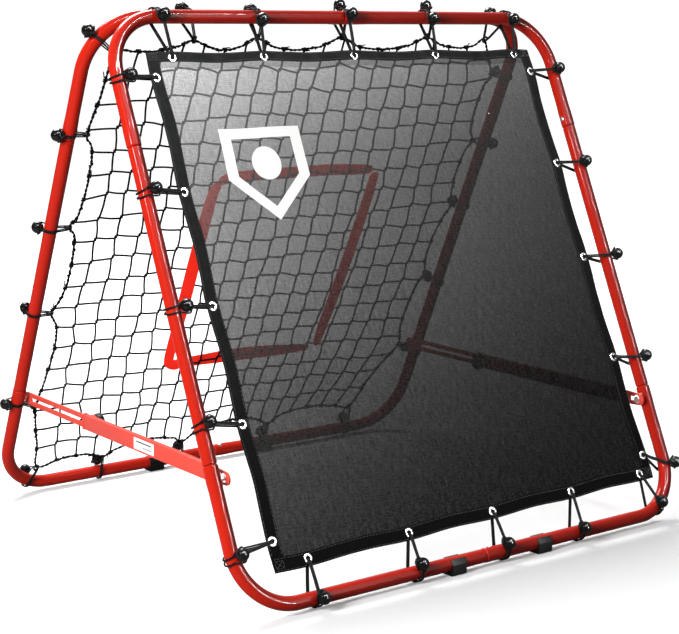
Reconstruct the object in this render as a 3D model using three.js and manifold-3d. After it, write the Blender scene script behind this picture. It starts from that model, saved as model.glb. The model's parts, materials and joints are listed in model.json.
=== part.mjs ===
// A pitch back rebounder: two round-cornered tube frames hinged together along the top, a mesh
// panel laced into the front frame, a knotted net hung in the rear frame, and a slotted brace
// with a screw knob on each side that sets how far the frames stand apart.
// Millimetres, +Z up, the mesh panel faces -Y.
import * as THREE from "three";
import { mergeVertices } from "three/addons/utils/BufferGeometryUtils.js";
import Module from "manifold-3d";

const wasm = await Module();
wasm.setup();

// Frames
const TUBE_R = 12;
const LEG_X = 488; // tube axis of each leg
const LENGTH = 996; // top tube axis to bottom tube axis, along the frame
const BEND_R = 100;
const SPREAD = THREE.MathUtils.degToRad(24.4); // each frame's lean
const TOP_GAP = 40; // between the two top tube axes
const SEAM_TOP = 229; // where a leg tube meets its top corner, from the top axis
const SEAM_BOTTOM = 758;
const GAP = 0.3; // left between pieces that touch
const SIDES = 16;

// Feet
const FOOT_BASE = 6;
const FOOT_WIDTH = 32;
const FOOT_HALF_DEPTH = 15;
const FOOT_ARM = 11; // arm tips above the tube axis
const FRONT_FEET = [-65, 134];
const REAR_FEET = [-143, 127];

// Front panel
const PANEL_LIFT = 8; // in front of the tube axes
const PANEL_HALF = 433;
const PANEL_TOP = 65;
const PANEL_BOTTOM = 942;
const HEM_SIDE = 24;
const HEM_TOP = 20;
const HEM_THICK = 2.4;
const PANEL_THICK = 1.2;
const EYELET_R = 4.2;

// Bungees: [along the tube at the ball, along the hem at the eyelet]
const BALL_R = 11;
const BALL_LIFT = 23.5;
const CORD_R = 2;
const TOP_TIES = [[-384, -383], [-187, -197], [8, 0], [199, 192], [404, 392]];
const BOTTOM_TIES = [[-353, -366], [-146, -157], [47, 30], [226, 220], [434, 400]];
const LEFT_TIES = [[111, 110], [307, 310], [505, 504], [695, 700], [906, 892]];
const RIGHT_TIES = [[115, 112], [307, 305], [499, 498], [702, 701], [911, 896]];
const TOP_EYELET_S = 76;
const BOTTOM_EYELET_S = 929;
const SIDE_EYELET_X = 422;

// Rear net: the points that its edge rope is tied out to, [across, down the frame]
const NET_THICK = 3;
const NET_SAG = 17; // how far the edge rope falls in between two ties
const NET_TIES = [
  [-428, 70],
  [-278, 45],
  [-146, 43],
  [43, 40],
  [250, 42],
  [405, 50],
  [451, 124],
  [453, 273],
  [453, 428],
  [443, 592],
  [432, 782],
  [346, 936],
  [129, 949],
  [-82, 943],
  [-278, 955],
  [-414, 962],
  [-449, 800],
  [-452, 592],
  [-451, 408],
  [-450, 222],
];
const ZONE_OUTER = [[-171, 311], [227, 309], [200, 766], [-182, 752]];
const ZONE_INNER = [[-146, 337], [201, 335], [176, 740], [-158, 726]];
const ZONE_THICK = 1.5;

// Braces, one inside each pair of legs
const BRACE_X = 467; // middle plane
const PIVOT_S = 782; // down the leg
const BAR_THICK = 3;
const BAR_HEIGHT = 24;
const BAR_FRONT = -60;
const BAR_REAR = 355;
const SLOT_FRONT = -40;
const SLOT_REAR = 326;
const SLOT_HALF = 3;
const NOTCH_R = 4.5;
const NOTCHES = [21, 96, 171, 246, 321];
const SLEEVE_THICK = 9;
const SLEEVE_HEIGHT = 27;
const SLEEVE_REAR = 118;
const SLEEVE_FRONT = -290;
const BORE_FRONT = -226;
const TAB_FRONT = -358;
const TAB_HALF = 11;
const KEY_Y = -340;
const KEY_R = 8;
const KEY_SLOT_HALF = 4.15;
const KEY_SLOT = 16;
const KNOB_Y = 96;
const KNOB_R = 16.5;
const KNOB_THICK = 15;
const BOSS_R = 14.5;
const BOSS_THICK = 4;
const PIN_R = 2.5;

// Top hinges
const HINGE_X = 270;
const LUG_WIDTH = 13.5;
const EAR_R = 7;
const SADDLE_R = 15.3;
const BOLT_R = 3;

const sinA = Math.sin(SPREAD);
const cosA = Math.cos(SPREAD);
const FOOT_AXIS = FOOT_BASE + TUBE_R;
const HINGE_Z = FOOT_AXIS + LENGTH * cosA;
const PIVOT_Y = TOP_GAP / 2 + PIVOT_S * sinA;
const PIVOT_Z = HINGE_Z - PIVOT_S * cosA;
const FOOT_Y = TOP_GAP / 2 + LENGTH * sinA;

const paint = { color: 0xd8261c, roughness: 0.35, metalness: 0.1 };
const steel = { color: 0xb9bbbd, roughness: 0.35, metalness: 0.9 };
const rubber = { color: 0x18181a, roughness: 0.55, metalness: 0 };
const webbing = { color: 0x1b1b1d, roughness: 0.85, metalness: 0 };
const mesh = { color: 0x3a3b3e, roughness: 0.9, metalness: 0 };
const strap = { color: 0xb0281f, roughness: 0.85, metalness: 0 };

const model = new THREE.Group();

function put(group, name, geometry, look) {
  const piece = new THREE.Mesh(geometry, new THREE.MeshStandardMaterial(look));
  piece.name = name;
  group.add(piece);
  return piece;
}

// A closed geometry as a manifold solid, for joining and cutting.
function solid(geometry) {
  const bare = geometry.clone();
  bare.deleteAttribute("normal");
  bare.deleteAttribute("uv");
  const merged = mergeVertices(bare, 1e-4);
  const vertProperties = new Float32Array(merged.attributes.position.array);
  const triVerts = new Uint32Array(merged.index.array);
  return new wasm.Manifold(new wasm.Mesh({ numProp: 3, vertProperties, triVerts }));
}

function surface(body) {
  const raw = body.getMesh();
  const geometry = new THREE.BufferGeometry();
  geometry.setAttribute("position", new THREE.BufferAttribute(raw.vertProperties, 3));
  geometry.setIndex(new THREE.BufferAttribute(raw.triVerts, 1));
  geometry.computeVertexNormals();
  return geometry;
}

// A path given by its stations, so that straight stretches take one step.
class StationPath extends THREE.Curve {
  constructor(points, tangents) {
    super();
    this.points = points;
    this.tangents = tangents;
  }
  index(u) {
    return Math.round(u * (this.points.length - 1));
  }
  getPointAt(u, target = new THREE.Vector3()) {
    return target.copy(this.points[this.index(u)]);
  }
  getTangentAt(u, target = new THREE.Vector3()) {
    return target.copy(this.tangents[this.index(u)]);
  }
}

function round(r, sides) {
  const shape = new THREE.Shape();
  for (let i = 0; i < sides; i += 1) {
    const t = (2 * Math.PI * (i + 0.5)) / sides;
    const move = i === 0 ? "moveTo" : "lineTo";
    shape[move](r * Math.cos(t), r * Math.sin(t));
  }
  shape.closePath();
  return shape;
}

function sweep(points, tangents, r, sides) {
  const extrudePath = new StationPath(points, tangents);
  return new THREE.ExtrudeGeometry(round(r, sides), { steps: points.length - 1, extrudePath });
}

function polygon(points) {
  const shape = new THREE.Shape();
  shape.setFromPoints(points.map(([x, y]) => new THREE.Vector2(x, y)));
  return shape;
}

// A flat shape drawn in (y, z) and given thickness along X.
function acrossX(shape, x0, x1, curveSegments = 12) {
  const geometry = new THREE.ExtrudeGeometry(shape, {
    depth: x1 - x0,
    bevelEnabled: false,
    curveSegments,
  });
  geometry.applyMatrix4(
    new THREE.Matrix4().set(0, 0, 1, x0, 1, 0, 0, 0, 0, 1, 0, 0, 0, 0, 0, 1),
  );
  return geometry;
}

function box(x0, x1, y0, y1, z0, z1) {
  const geometry = new THREE.BoxGeometry(x1 - x0, y1 - y0, z1 - z0);
  geometry.translate((x0 + x1) / 2, (y0 + y1) / 2, (z0 + z1) / 2);
  return geometry;
}

function rod(x0, x1, y, z, r, sides = 16) {
  const geometry = new THREE.CylinderGeometry(r, r, x1 - x0, sides);
  geometry.rotateZ(-Math.PI / 2);
  geometry.translate((x0 + x1) / 2, y, z);
  return geometry;
}

// Each frame is drawn flat: x across, y up the frame from the top tube's axis, z to the front.
function frameGroup(front) {
  const group = new THREE.Group();
  const tilt = front ? Math.PI / 2 - SPREAD : Math.PI / 2 + SPREAD;
  group.rotation.x = tilt;
  group.position.set(0, front ? -TOP_GAP / 2 : TOP_GAP / 2, HINGE_Z);
  model.add(group);
  return group;
}

// A corner runs from the middle of the top or bottom tube, round the bend, to the leg's seam.
function cornerTube(sx, top) {
  const y0 = top ? 0 : -LENGTH;
  const sy = top ? -1 : 1;
  const seam = top ? -SEAM_TOP : -SEAM_BOTTOM;
  const points = [new THREE.Vector3(sx * (GAP / 2), y0, 0)];
  const tangents = [new THREE.Vector3(sx, 0, 0)];
  const steps = 7;
  for (let i = 0; i <= steps; i += 1) {
    const t = (i / steps) * (Math.PI / 2);
    const x = LEG_X - BEND_R + BEND_R * Math.sin(t);
    const y = y0 + sy * BEND_R * (1 - Math.cos(t));
    points.push(new THREE.Vector3(sx * x, y, 0));
    tangents.push(new THREE.Vector3(sx * Math.cos(t), sy * Math.sin(t), 0));
  }
  points.push(new THREE.Vector3(sx * LEG_X, seam - (sy * GAP) / 2, 0));
  tangents.push(new THREE.Vector3(0, sy, 0));
  return sweep(points, tangents, TUBE_R, SIDES);
}

function legTube(sx) {
  const points = [
    new THREE.Vector3(sx * LEG_X, -SEAM_TOP - GAP / 2, 0),
    new THREE.Vector3(sx * LEG_X, -SEAM_BOTTOM + GAP / 2, 0),
  ];
  const down = new THREE.Vector3(0, -1, 0);
  return sweep(points, [down, down], TUBE_R, SIDES);
}

function buildFrame(group, label) {
  for (const [side, sx] of [["left", -1], ["right", 1]]) {
    put(group, `${label}_corner_top_${side}`, cornerTube(sx, true), paint);
    put(group, `${label}_leg_${side}`, legTube(sx), paint);
    put(group, `${label}_corner_bottom_${side}`, cornerTube(sx, false), paint);
  }
}

// A foot is a black clip pushed up round the bottom tube from below.
function footShape() {
  const shape = new THREE.Shape();
  const inner = TUBE_R + GAP;
  const mouth = Math.asin((FOOT_ARM - 1) / inner);
  shape.moveTo(-FOOT_HALF_DEPTH + 3, -FOOT_AXIS);
  shape.lineTo(FOOT_HALF_DEPTH - 3, -FOOT_AXIS);
  shape.lineTo(FOOT_HALF_DEPTH, -FOOT_AXIS + 3);
  shape.lineTo(FOOT_HALF_DEPTH, 2);
  shape.lineTo(inner * Math.cos(mouth) + 2, FOOT_ARM);
  const steps = 12;
  for (let i = 0; i <= steps; i += 1) {
    const t = mouth - (i / steps) * (Math.PI + 2 * mouth);
    shape.lineTo(inner * Math.cos(t), inner * Math.sin(t));
  }
  shape.lineTo(-inner * Math.cos(mouth) - 2, FOOT_ARM);
  shape.lineTo(-FOOT_HALF_DEPTH, 2);
  shape.lineTo(-FOOT_HALF_DEPTH, -FOOT_AXIS + 3);
  shape.closePath();
  return shape;
}

function buildFeet(label, places, y) {
  places.forEach((x, i) => {
    const half = FOOT_WIDTH / 2;
    const foot = put(
      model,
      `${label}_foot_${i === 0 ? "left" : "right"}`,
      acrossX(footShape(), x - half, x + half),
      rubber,
    );
    foot.position.set(0, y, FOOT_AXIS);
  });
}

// The axis of the tube beside a point of one side, and the direction in towards the panel.
function tubeSection(side, v) {
  const upright = side === "left" || side === "right";
  const far = side === "right" || side === "bottom" ? 1 : -1;
  const middle = upright ? LENGTH / 2 : 0;
  const reach = (upright ? LENGTH / 2 : LEG_X) - BEND_R;
  const past = Math.max(0, Math.abs(v - middle) - reach);
  const end = Math.sign(v - middle);
  const t = Math.asin(past / BEND_R);
  const drop = BEND_R * (1 - Math.cos(t));
  const along = -end * Math.sin(t);
  if (upright) {
    return {
      at: new THREE.Vector2(far * (LEG_X - drop), -v),
      inward: new THREE.Vector2(-far * Math.cos(t), -along),
      tangent: new THREE.Vector2(far * along, -Math.cos(t)),
    };
  }
  const level = far > 0 ? -(LENGTH - drop) : -drop;
  return {
    at: new THREE.Vector2(v, level),
    inward: new THREE.Vector2(along, far * Math.cos(t)),
    tangent: new THREE.Vector2(Math.cos(t), -far * along),
  };
}

// One bungee: out of the ball, down through the eyelet, back behind the tube and over to the ball.
function bungee(side, ball, eyelet) {
  const { at, inward, tangent } = tubeSection(side, ball);
  const target = {
    top: new THREE.Vector2(eyelet, -TOP_EYELET_S),
    bottom: new THREE.Vector2(eyelet, -BOTTOM_EYELET_S),
    left: new THREE.Vector2(-SIDE_EYELET_X, -eyelet),
    right: new THREE.Vector2(SIDE_EYELET_X, -eyelet),
  }[side];
  const reach = target.clone().sub(at).dot(inward);
  const shift = target.clone().sub(at).dot(tangent);
  const turn = 4.2;
  const wrap = TUBE_R + CORD_R + 2;
  const flat = [[3.2, BALL_LIFT - 2]];
  for (let i = 0; i <= 3; i += 1) {
    const t = Math.PI / 2 - (i / 3) * Math.PI;
    flat.push([reach - turn + turn * Math.cos(t), PANEL_LIFT + turn * Math.sin(t)]);
  }
  for (let i = 0; i <= 4; i += 1) {
    const t = THREE.MathUtils.degToRad(-76 - i * 52);
    flat.push([wrap * Math.cos(t), wrap * Math.sin(t)]);
  }
  flat.push([-3.2, BALL_LIFT - 2]);
  const points = flat.map(([u, n]) => {
    const w = shift * THREE.MathUtils.clamp(u / (reach - turn), 0, 1);
    const x = at.x + inward.x * u + tangent.x * w;
    const y = at.y + inward.y * u + tangent.y * w;
    return new THREE.Vector3(x, y, n);
  });
  const tangents = points.map((p, i) => {
    const a = points[Math.max(0, i - 1)];
    const b = points[Math.min(points.length - 1, i + 1)];
    return b.clone().sub(a).normalize();
  });
  const head = new THREE.SphereGeometry(BALL_R, 10, 6);
  head.translate(at.x, at.y, BALL_LIFT);
  return surface(solid(head).add(solid(sweep(points, tangents, CORD_R, 5))));
}

function buildBungees(group) {
  const ties = { top: TOP_TIES, left: LEFT_TIES, right: RIGHT_TIES, bottom: BOTTOM_TIES };
  for (const [side, list] of Object.entries(ties)) {
    list.forEach(([ball, eyelet], i) => {
      put(group, `front_bungee_${side}_${i + 1}`, bungee(side, ball, eyelet), rubber);
    });
  }
}

function hem(x0, x1, s0, s1, eyelets) {
  const shape = polygon([[x0, -s1], [x1, -s1], [x1, -s0], [x0, -s0]]);
  for (const [x, s] of eyelets) {
    const hole = new THREE.Path();
    hole.absarc(x, -s, EYELET_R, 0, 2 * Math.PI, true);
    shape.holes.push(hole);
  }
  const geometry = new THREE.ExtrudeGeometry(shape, {
    depth: HEM_THICK,
    bevelEnabled: false,
    curveSegments: 6,
  });
  geometry.translate(0, 0, PANEL_LIFT - HEM_THICK / 2);
  return geometry;
}

function buildPanel(group) {
  const inner = PANEL_HALF - HEM_SIDE;
  const top = PANEL_TOP + HEM_TOP;
  const bottom = PANEL_BOTTOM - HEM_SIDE;
  const cloth = box(
    -inner + GAP,
    inner - GAP,
    -bottom + GAP,
    -top - GAP,
    PANEL_LIFT - PANEL_THICK / 2,
    PANEL_LIFT + PANEL_THICK / 2,
  );
  put(group, "front_panel_mesh", cloth, mesh);
  const across = (list, s) => list.map(([, x]) => [x, s]);
  const down = (list, x) => list.map(([, s]) => [x, s]);
  put(
    group,
    "panel_hem_top",
    hem(-PANEL_HALF, PANEL_HALF, PANEL_TOP, top, across(TOP_TIES, TOP_EYELET_S)),
    webbing,
  );
  put(
    group,
    "panel_hem_bottom",
    hem(-PANEL_HALF, PANEL_HALF, bottom, PANEL_BOTTOM, across(BOTTOM_TIES, BOTTOM_EYELET_S)),
    webbing,
  );
  const left = down(LEFT_TIES, -SIDE_EYELET_X);
  const right = down(RIGHT_TIES, SIDE_EYELET_X);
  put(
    group,
    "panel_hem_left",
    hem(-PANEL_HALF, -inner, top + GAP, bottom - GAP, left),
    webbing,
  );
  put(
    group,
    "panel_hem_right",
    hem(inner, PANEL_HALF, top + GAP, bottom - GAP, right),
    webbing,
  );
}

// The net is one thin sheet inside its edge rope, which sags in between the ties.
function netOutline() {
  const points = [];
  const middle = new THREE.Vector2(0, LENGTH / 2);
  NET_TIES.forEach((tie, i) => {
    const a = new THREE.Vector2(...tie);
    const b = new THREE.Vector2(...NET_TIES[(i + 1) % NET_TIES.length]);
    const centre = a.clone().add(b).multiplyScalar(0.5);
    const along = b.clone().sub(a);
    const normal = new THREE.Vector2(-along.y, along.x).normalize();
    if (middle.clone().sub(centre).dot(normal) < 0) {
      normal.negate();
    }
    const sag = NET_SAG * Math.min(1, along.length() / 150);
    points.push([a.x, -a.y]);
    for (const f of [0.25, 0.5, 0.75]) {
      const p = a.clone().lerp(b, f).addScaledVector(normal, sag * 4 * f * (1 - f));
      points.push([p.x, -p.y]);
    }
  });
  return points;
}

function buildNet(group) {
  const net = new THREE.ExtrudeGeometry(polygon(netOutline()), {
    depth: NET_THICK,
    bevelEnabled: false,
  });
  net.translate(0, 0, -NET_THICK / 2);
  put(group, "rear_net", net, webbing);
  const ring = polygon(ZONE_OUTER.map(([x, s]) => [x, -s]));
  const hole = new THREE.Path();
  hole.setFromPoints(ZONE_INNER.map(([x, s]) => new THREE.Vector2(x, -s)).reverse());
  ring.holes.push(hole);
  const zone = new THREE.ExtrudeGeometry(ring, { depth: ZONE_THICK, bevelEnabled: false });
  zone.translate(0, 0, -NET_THICK / 2 - GAP - ZONE_THICK);
  put(group, "strike_zone_strap", zone, strap);
}

// The slotted bar, drawn on the +X side in (y, z) about the pivots' height.
function barBody(x0, x1) {
  const half = BAR_HEIGHT / 2;
  const outline = new THREE.Shape();
  outline.moveTo(BAR_FRONT, -half);
  outline.lineTo(BAR_REAR - half, -half);
  outline.absarc(BAR_REAR - half, 0, half, -Math.PI / 2, Math.PI / 2, false);
  outline.lineTo(BAR_FRONT, half);
  outline.closePath();
  let body = solid(acrossX(outline, x0, x1, 6));
  body = body.subtract(solid(box(x0 - 1, x1 + 1, SLOT_FRONT, SLOT_REAR, -SLOT_HALF, SLOT_HALF)));
  for (const y of NOTCHES) {
    body = body.subtract(solid(rod(x0 - 1, x1 + 1, y, 0, NOTCH_R, 14)));
  }
  return body.subtract(solid(rod(x0 - 1, x1 + 1, PIVOT_Y, 0, BOLT_R + GAP, 14)));
}

function tabShape() {
  const outline = new THREE.Shape();
  const half = SLEEVE_HEIGHT / 2;
  outline.moveTo(SLEEVE_FRONT + 4, -half);
  outline.lineTo(SLEEVE_FRONT + 4, half);
  outline.lineTo(SLEEVE_FRONT, half);
  outline.lineTo(TAB_FRONT + TAB_HALF, TAB_HALF);
  outline.absarc(TAB_FRONT + TAB_HALF, 0, TAB_HALF, Math.PI / 2, 1.5 * Math.PI, false);
  outline.lineTo(SLEEVE_FRONT, -half);
  outline.closePath();
  return outline;
}

// The sleeve: a flat box section over the bar, a round boss for the knob, and a keyhole tab.
function sleeveBody(side) {
  const half = SLEEVE_HEIGHT / 2;
  const xIn = BRACE_X - SLEEVE_THICK / 2;
  const xOut = BRACE_X + SLEEVE_THICK / 2;
  const cavity = BAR_THICK / 2 + GAP;
  const tab0 = BRACE_X - BAR_THICK / 2;
  const tab1 = BRACE_X + BAR_THICK / 2;
  const tall = BAR_HEIGHT / 2 + GAP;
  let body = solid(box(xIn, xOut, SLEEVE_FRONT, SLEEVE_REAR, -half, half));
  body = body.add(solid(acrossX(tabShape(), tab0, tab1, 6)));
  body = body.add(solid(rod(xIn - BOSS_THICK, xIn + 1, KNOB_Y, 0, BOSS_R, 24)));
  const slot = box(tab0 - 1, tab1 + 1, KEY_Y, KEY_Y + KEY_SLOT, -KEY_SLOT_HALF, KEY_SLOT_HALF);
  body = body.subtract(solid(rod(tab0 - 1, tab1 + 1, KEY_Y, 0, KEY_R, 18)));
  body = body.subtract(solid(slot));
  const bore = box(
    BRACE_X - cavity,
    BRACE_X + cavity,
    BORE_FRONT,
    SLEEVE_REAR + 1,
    -tall,
    tall,
  );
  body = body.subtract(solid(bore));
  const hole = rod(xIn - BOSS_THICK - 1, BRACE_X, KNOB_Y, 0, PIN_R + GAP, 14);
  return mirrored(body.subtract(solid(hole)), side);
}

function mirrored(body, side) {
  return surface(side > 0 ? body : body.mirror([1, 0, 0]));
}

// The knob: a fluted black head with its steel pin.
function knobBody(side) {
  const face = BRACE_X - SLEEVE_THICK / 2 - BOSS_THICK - GAP;
  const grip = new THREE.Shape();
  const lobes = 8;
  const steps = lobes * 4;
  for (let i = 0; i < steps; i += 1) {
    const t = (2 * Math.PI * i) / steps;
    const r = KNOB_R - 1.4 * (i % 4 === 2 ? 1 : 0);
    const move = i === 0 ? "moveTo" : "lineTo";
    grip[move](r * Math.cos(t), r * Math.sin(t));
  }
  grip.closePath();
  const head = acrossX(grip, face - KNOB_THICK, face);
  head.translate(0, KNOB_Y, 0);
  const pin = rod(face - 1, BRACE_X + BAR_THICK / 2, KNOB_Y, 0, PIN_R, 12);
  return mirrored(solid(head).add(solid(pin)), side);
}

function studBody(side, y, shaft, head) {
  const leg = LEG_X - TUBE_R - GAP;
  const seat = BRACE_X - BAR_THICK / 2;
  const shank = rod(seat - GAP - 1, leg, y, 0, shaft, 14);
  const cap = rod(seat - GAP - 3.5, seat - GAP, y, 0, head, 14);
  return mirrored(solid(shank).add(solid(cap)), side);
}

function buildBraces() {
  for (const [label, side] of [["left", -1], ["right", 1]]) {
    const x0 = BRACE_X - BAR_THICK / 2;
    const x1 = BRACE_X + BAR_THICK / 2;
    const pieces = {
      brace_bar: [mirrored(barBody(x0, x1), side), paint],
      brace_sleeve: [sleeveBody(side), paint],
      brace_knob: [knobBody(side), rubber],
      brace_stud: [studBody(side, -PIVOT_Y, 3.6, 6), steel],
      brace_pivot: [studBody(side, PIVOT_Y, BOLT_R, 6), steel],
    };
    for (const [name, [geometry, look]] of Object.entries(pieces)) {
      put(model, `${label}_${name}`, geometry, look).position.z = PIVOT_Z;
    }
  }
}

// A lug: a saddle on the back of one top tube, with an ear round the hinge bolt.
function lugBody(x0, x1, toward) {
  const reach = THREE.MathUtils.degToRad(50);
  const shape = new THREE.Shape();
  const steps = 8;
  for (let i = 0; i <= steps; i += 1) {
    const t = -reach + (i / steps) * 2 * reach;
    const move = i === 0 ? "moveTo" : "lineTo";
    shape[move](SADDLE_R * Math.cos(t), SADDLE_R * Math.sin(t));
  }
  for (let i = steps; i >= 0; i -= 1) {
    const t = -reach + (i / steps) * 2 * reach;
    shape.lineTo((TUBE_R + GAP) * Math.cos(t), (TUBE_R + GAP) * Math.sin(t));
  }
  shape.closePath();
  const saddle = acrossX(shape, x0, x1);
  saddle.translate(0, -TOP_GAP / 2, 0);
  const ear = rod(x0, x1, 0, 0, EAR_R, 20);
  const hole = rod(x0 - 1, x1 + 1, 0, 0, BOLT_R + GAP, 14);
  const body = solid(saddle).add(solid(ear)).subtract(solid(hole));
  return surface(toward > 0 ? body : body.mirror([0, 1, 0]));
}

function hingeBolt(x0, x1) {
  const shank = rod(x0 - GAP - 1, x1 + GAP + 1, 0, 0, BOLT_R, 14);
  const head = rod(x0 - GAP - 4, x0 - GAP, 0, 0, 5.5, 6);
  const nut = rod(x1 + GAP, x1 + GAP + 5, 0, 0, 5.5, 6);
  return surface(solid(shank).add(solid(head)).add(solid(nut)));
}

function buildHinges() {
  for (const [label, c] of [["left", -HINGE_X], ["right", HINGE_X]]) {
    const x0 = c - LUG_WIDTH - 0.5;
    const x1 = c + LUG_WIDTH + 0.5;
    const pieces = {
      hinge_lug_front: [lugBody(x0, c - 0.5, 1), paint],
      hinge_lug_rear: [lugBody(c + 0.5, x1, -1), paint],
      hinge_bolt: [hingeBolt(x0, x1), steel],
    };
    for (const [name, [geometry, look]] of Object.entries(pieces)) {
      put(model, `${label}_${name}`, geometry, look).position.z = HINGE_Z;
    }
  }
}

const front = frameGroup(true);
const rear = frameGroup(false);
buildFrame(front, "front");
buildFrame(rear, "rear");
buildFeet("front", FRONT_FEET, -FOOT_Y);
buildFeet("rear", REAR_FEET, FOOT_Y);
buildPanel(front);
buildBungees(front);
buildNet(rear);
buildBraces();
buildHinges();

// Centre the whole thing over its own footprint.
model.updateMatrixWorld(true);
const bounds = new THREE.Box3().setFromObject(model, true);
model.position.y = -(bounds.min.y + bounds.max.y) / 2;

export default model;
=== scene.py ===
"""A pitch back rebounder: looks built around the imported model. Lengths below are in millimetres
in the object's own frame; they are scaled to metres when a mesh is made."""
import json
import math
import random

import bmesh
import bpy
from mathutils import Matrix, Vector, noise


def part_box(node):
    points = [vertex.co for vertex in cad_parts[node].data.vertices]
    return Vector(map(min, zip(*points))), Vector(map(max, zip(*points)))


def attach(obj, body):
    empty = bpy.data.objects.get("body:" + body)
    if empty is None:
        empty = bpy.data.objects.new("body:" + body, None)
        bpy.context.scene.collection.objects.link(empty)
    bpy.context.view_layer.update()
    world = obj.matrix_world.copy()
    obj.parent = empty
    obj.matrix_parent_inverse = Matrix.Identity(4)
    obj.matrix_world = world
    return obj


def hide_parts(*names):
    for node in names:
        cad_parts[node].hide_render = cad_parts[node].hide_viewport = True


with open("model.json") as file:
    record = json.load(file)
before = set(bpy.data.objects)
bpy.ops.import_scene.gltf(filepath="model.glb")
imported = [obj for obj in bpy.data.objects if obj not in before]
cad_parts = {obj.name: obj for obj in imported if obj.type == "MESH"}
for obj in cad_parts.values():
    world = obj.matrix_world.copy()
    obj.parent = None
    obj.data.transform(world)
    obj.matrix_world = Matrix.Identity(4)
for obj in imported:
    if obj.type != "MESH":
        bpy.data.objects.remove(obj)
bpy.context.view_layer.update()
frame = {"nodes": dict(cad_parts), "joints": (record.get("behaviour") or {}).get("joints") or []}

MM = 0.001
TAU = 2 * math.pi
JOINTS = {j["name"]: j for j in frame["joints"]}
HINGE = Vector(JOINTS["frame_fold"]["pos_m"]) / MM
FRONT = "front_frame_body"
REAR = "rear_frame_body"
SIDES = (("left", -1), ("right", 1))

LEAN = math.radians(24.4)
SIN, COS = math.sin(LEAN), math.cos(LEAN)
TUBE_R = 12.0
LEG_X = 488.0
LENGTH = 996.0
BEND_R = 100.0
HALF_GAP = 20.0
SEAMS = (229.0, 758.0)


# ---------------------------------------------------------------- places

def front(x, s, n=0.0):
    """x across, s down the front frame from its top tube's axis, n out to the front."""
    return HINGE + Vector((x, -(HALF_GAP + s * SIN) - n * COS, -s * COS + n * SIN))


def rear(x, s, n=0.0):
    return HINGE + Vector((x, HALF_GAP + s * SIN + n * COS, -s * COS + n * SIN))


def lerp(a, b, t):
    return a + (b - a) * t


def smooth(t):
    t = min(1.0, max(0.0, t))
    return t * t * (3 - 2 * t)


def flat(pairs):
    return [Vector((x, s, 0)) for x, s in pairs]


def at_radius(centre, u, v, r, ang):
    """The point at radius r from centre, at an angle from u towards v."""
    return centre + u * (r * math.cos(ang)) + v * (r * math.sin(ang))


def runs(points):
    """How far along points each of them lies."""
    out = [0.0]
    for a, b in zip(points, points[1:]):
        out.append(out[-1] + (b - a).length)
    return out


# ---------------------------------------------------------------- meshes

class Shape:
    """Vertices, faces and UVs gathered in millimetres, then made into one object."""

    def __init__(self):
        self.verts = []
        self.faces = []
        self.uvs = []
        self.mats = []

    def add(self, verts, faces, uvs=None, mat=0):
        base = len(self.verts)
        self.verts += [Vector(v) for v in verts]
        for i, f in enumerate(faces):
            self.faces.append([base + k for k in f])
            self.uvs.append(uvs[i] if uvs else [(0.0, 0.0)] * len(f))
            self.mats.append(mat)

    def make(self, name, body, materials, replaces=(), sharp=40, weld=False):
        mesh = bpy.data.meshes.new(name)
        mesh.from_pydata([v * MM for v in self.verts], [], self.faces)
        layer = mesh.uv_layers.new(name="UVMap")
        layer.data.foreach_set("uv", [c for face in self.uvs for pair in face for c in pair])
        mesh.polygons.foreach_set("material_index", self.mats)
        for m in materials:
            mesh.materials.append(m)
        bm = bmesh.new()
        bm.from_mesh(mesh)
        if weld:
            bmesh.ops.remove_doubles(bm, verts=bm.verts, dist=1e-6)
        bmesh.ops.recalc_face_normals(bm, faces=bm.faces)
        bm.to_mesh(mesh)
        bm.free()
        return place(name, mesh, body, replaces, sharp)


def link(name, data):
    obj = bpy.data.objects.new(name, data)
    bpy.context.scene.collection.objects.link(obj)
    return obj


def place(name, mesh, body, replaces, sharp):
    """A piece on its body, shaded smooth up to an angle between faces in degrees."""
    for p in mesh.polygons:
        p.use_smooth = True
    mesh.set_sharp_from_angle(angle=math.radians(sharp))
    obj = link(name, mesh)
    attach(obj, body)
    if replaces:
        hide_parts(*replaces)
    return obj


def frames_along(points, closed, up=None):
    """Tangent, normal and binormal at each point, carried along without twist."""
    n = len(points)
    tangents = []
    for i in range(n):
        a = points[(i - 1) % n] if closed or i > 0 else points[0]
        b = points[(i + 1) % n] if closed or i < n - 1 else points[-1]
        tangents.append((b - a).normalized())
    t0 = tangents[0]
    ref = up if up is not None else Vector((0.3, 0.5, 0.81))
    if abs(t0.dot(ref.normalized())) > 0.95:
        ref = Vector((0.05, 0.1, 1))
    normal = (ref - t0 * ref.dot(t0)).normalized()
    out = []
    for t in tangents:
        normal = (normal - t * normal.dot(t)).normalized()
        out.append((t, normal.copy(), t.cross(normal)))
    return out


def sweep(shape, points, radius, sides, closed=False, caps=True, mat=0, up=None):
    """A round section carried along points. radius is a number or a function of i."""
    n = len(points)
    fr = frames_along(points, closed, up)
    size = radius if callable(radius) else (lambda i: radius)
    lengths = [run * MM for run in runs(points + points[:1])]
    verts = []
    for i in range(n):
        _, u, v = fr[i]
        r = size(i)
        verts += [at_radius(points[i], u, v, r, TAU * k / sides) for k in range(sides)]
    faces, uvs = [], []
    rows = n if closed else n - 1
    for i in range(rows):
        j = (i + 1) % n
        l0, l1 = lengths[i:i + 2]
        for k in range(sides):
            m = (k + 1) % sides
            faces.append([i * sides + k, i * sides + m, j * sides + m, j * sides + k])
            v0, v1 = k / sides, (k + 1) / sides
            uvs.append([(l0, v0), (l0, v1), (l1, v1), (l1, v0)])
    if caps and not closed:
        faces.append(list(range(sides))[::-1])
        uvs.append([(0, 0)] * sides)
        faces.append([(n - 1) * sides + k for k in range(sides)])
        uvs.append([(0, 0)] * sides)
    shape.add(verts, faces, uvs, mat)


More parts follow.
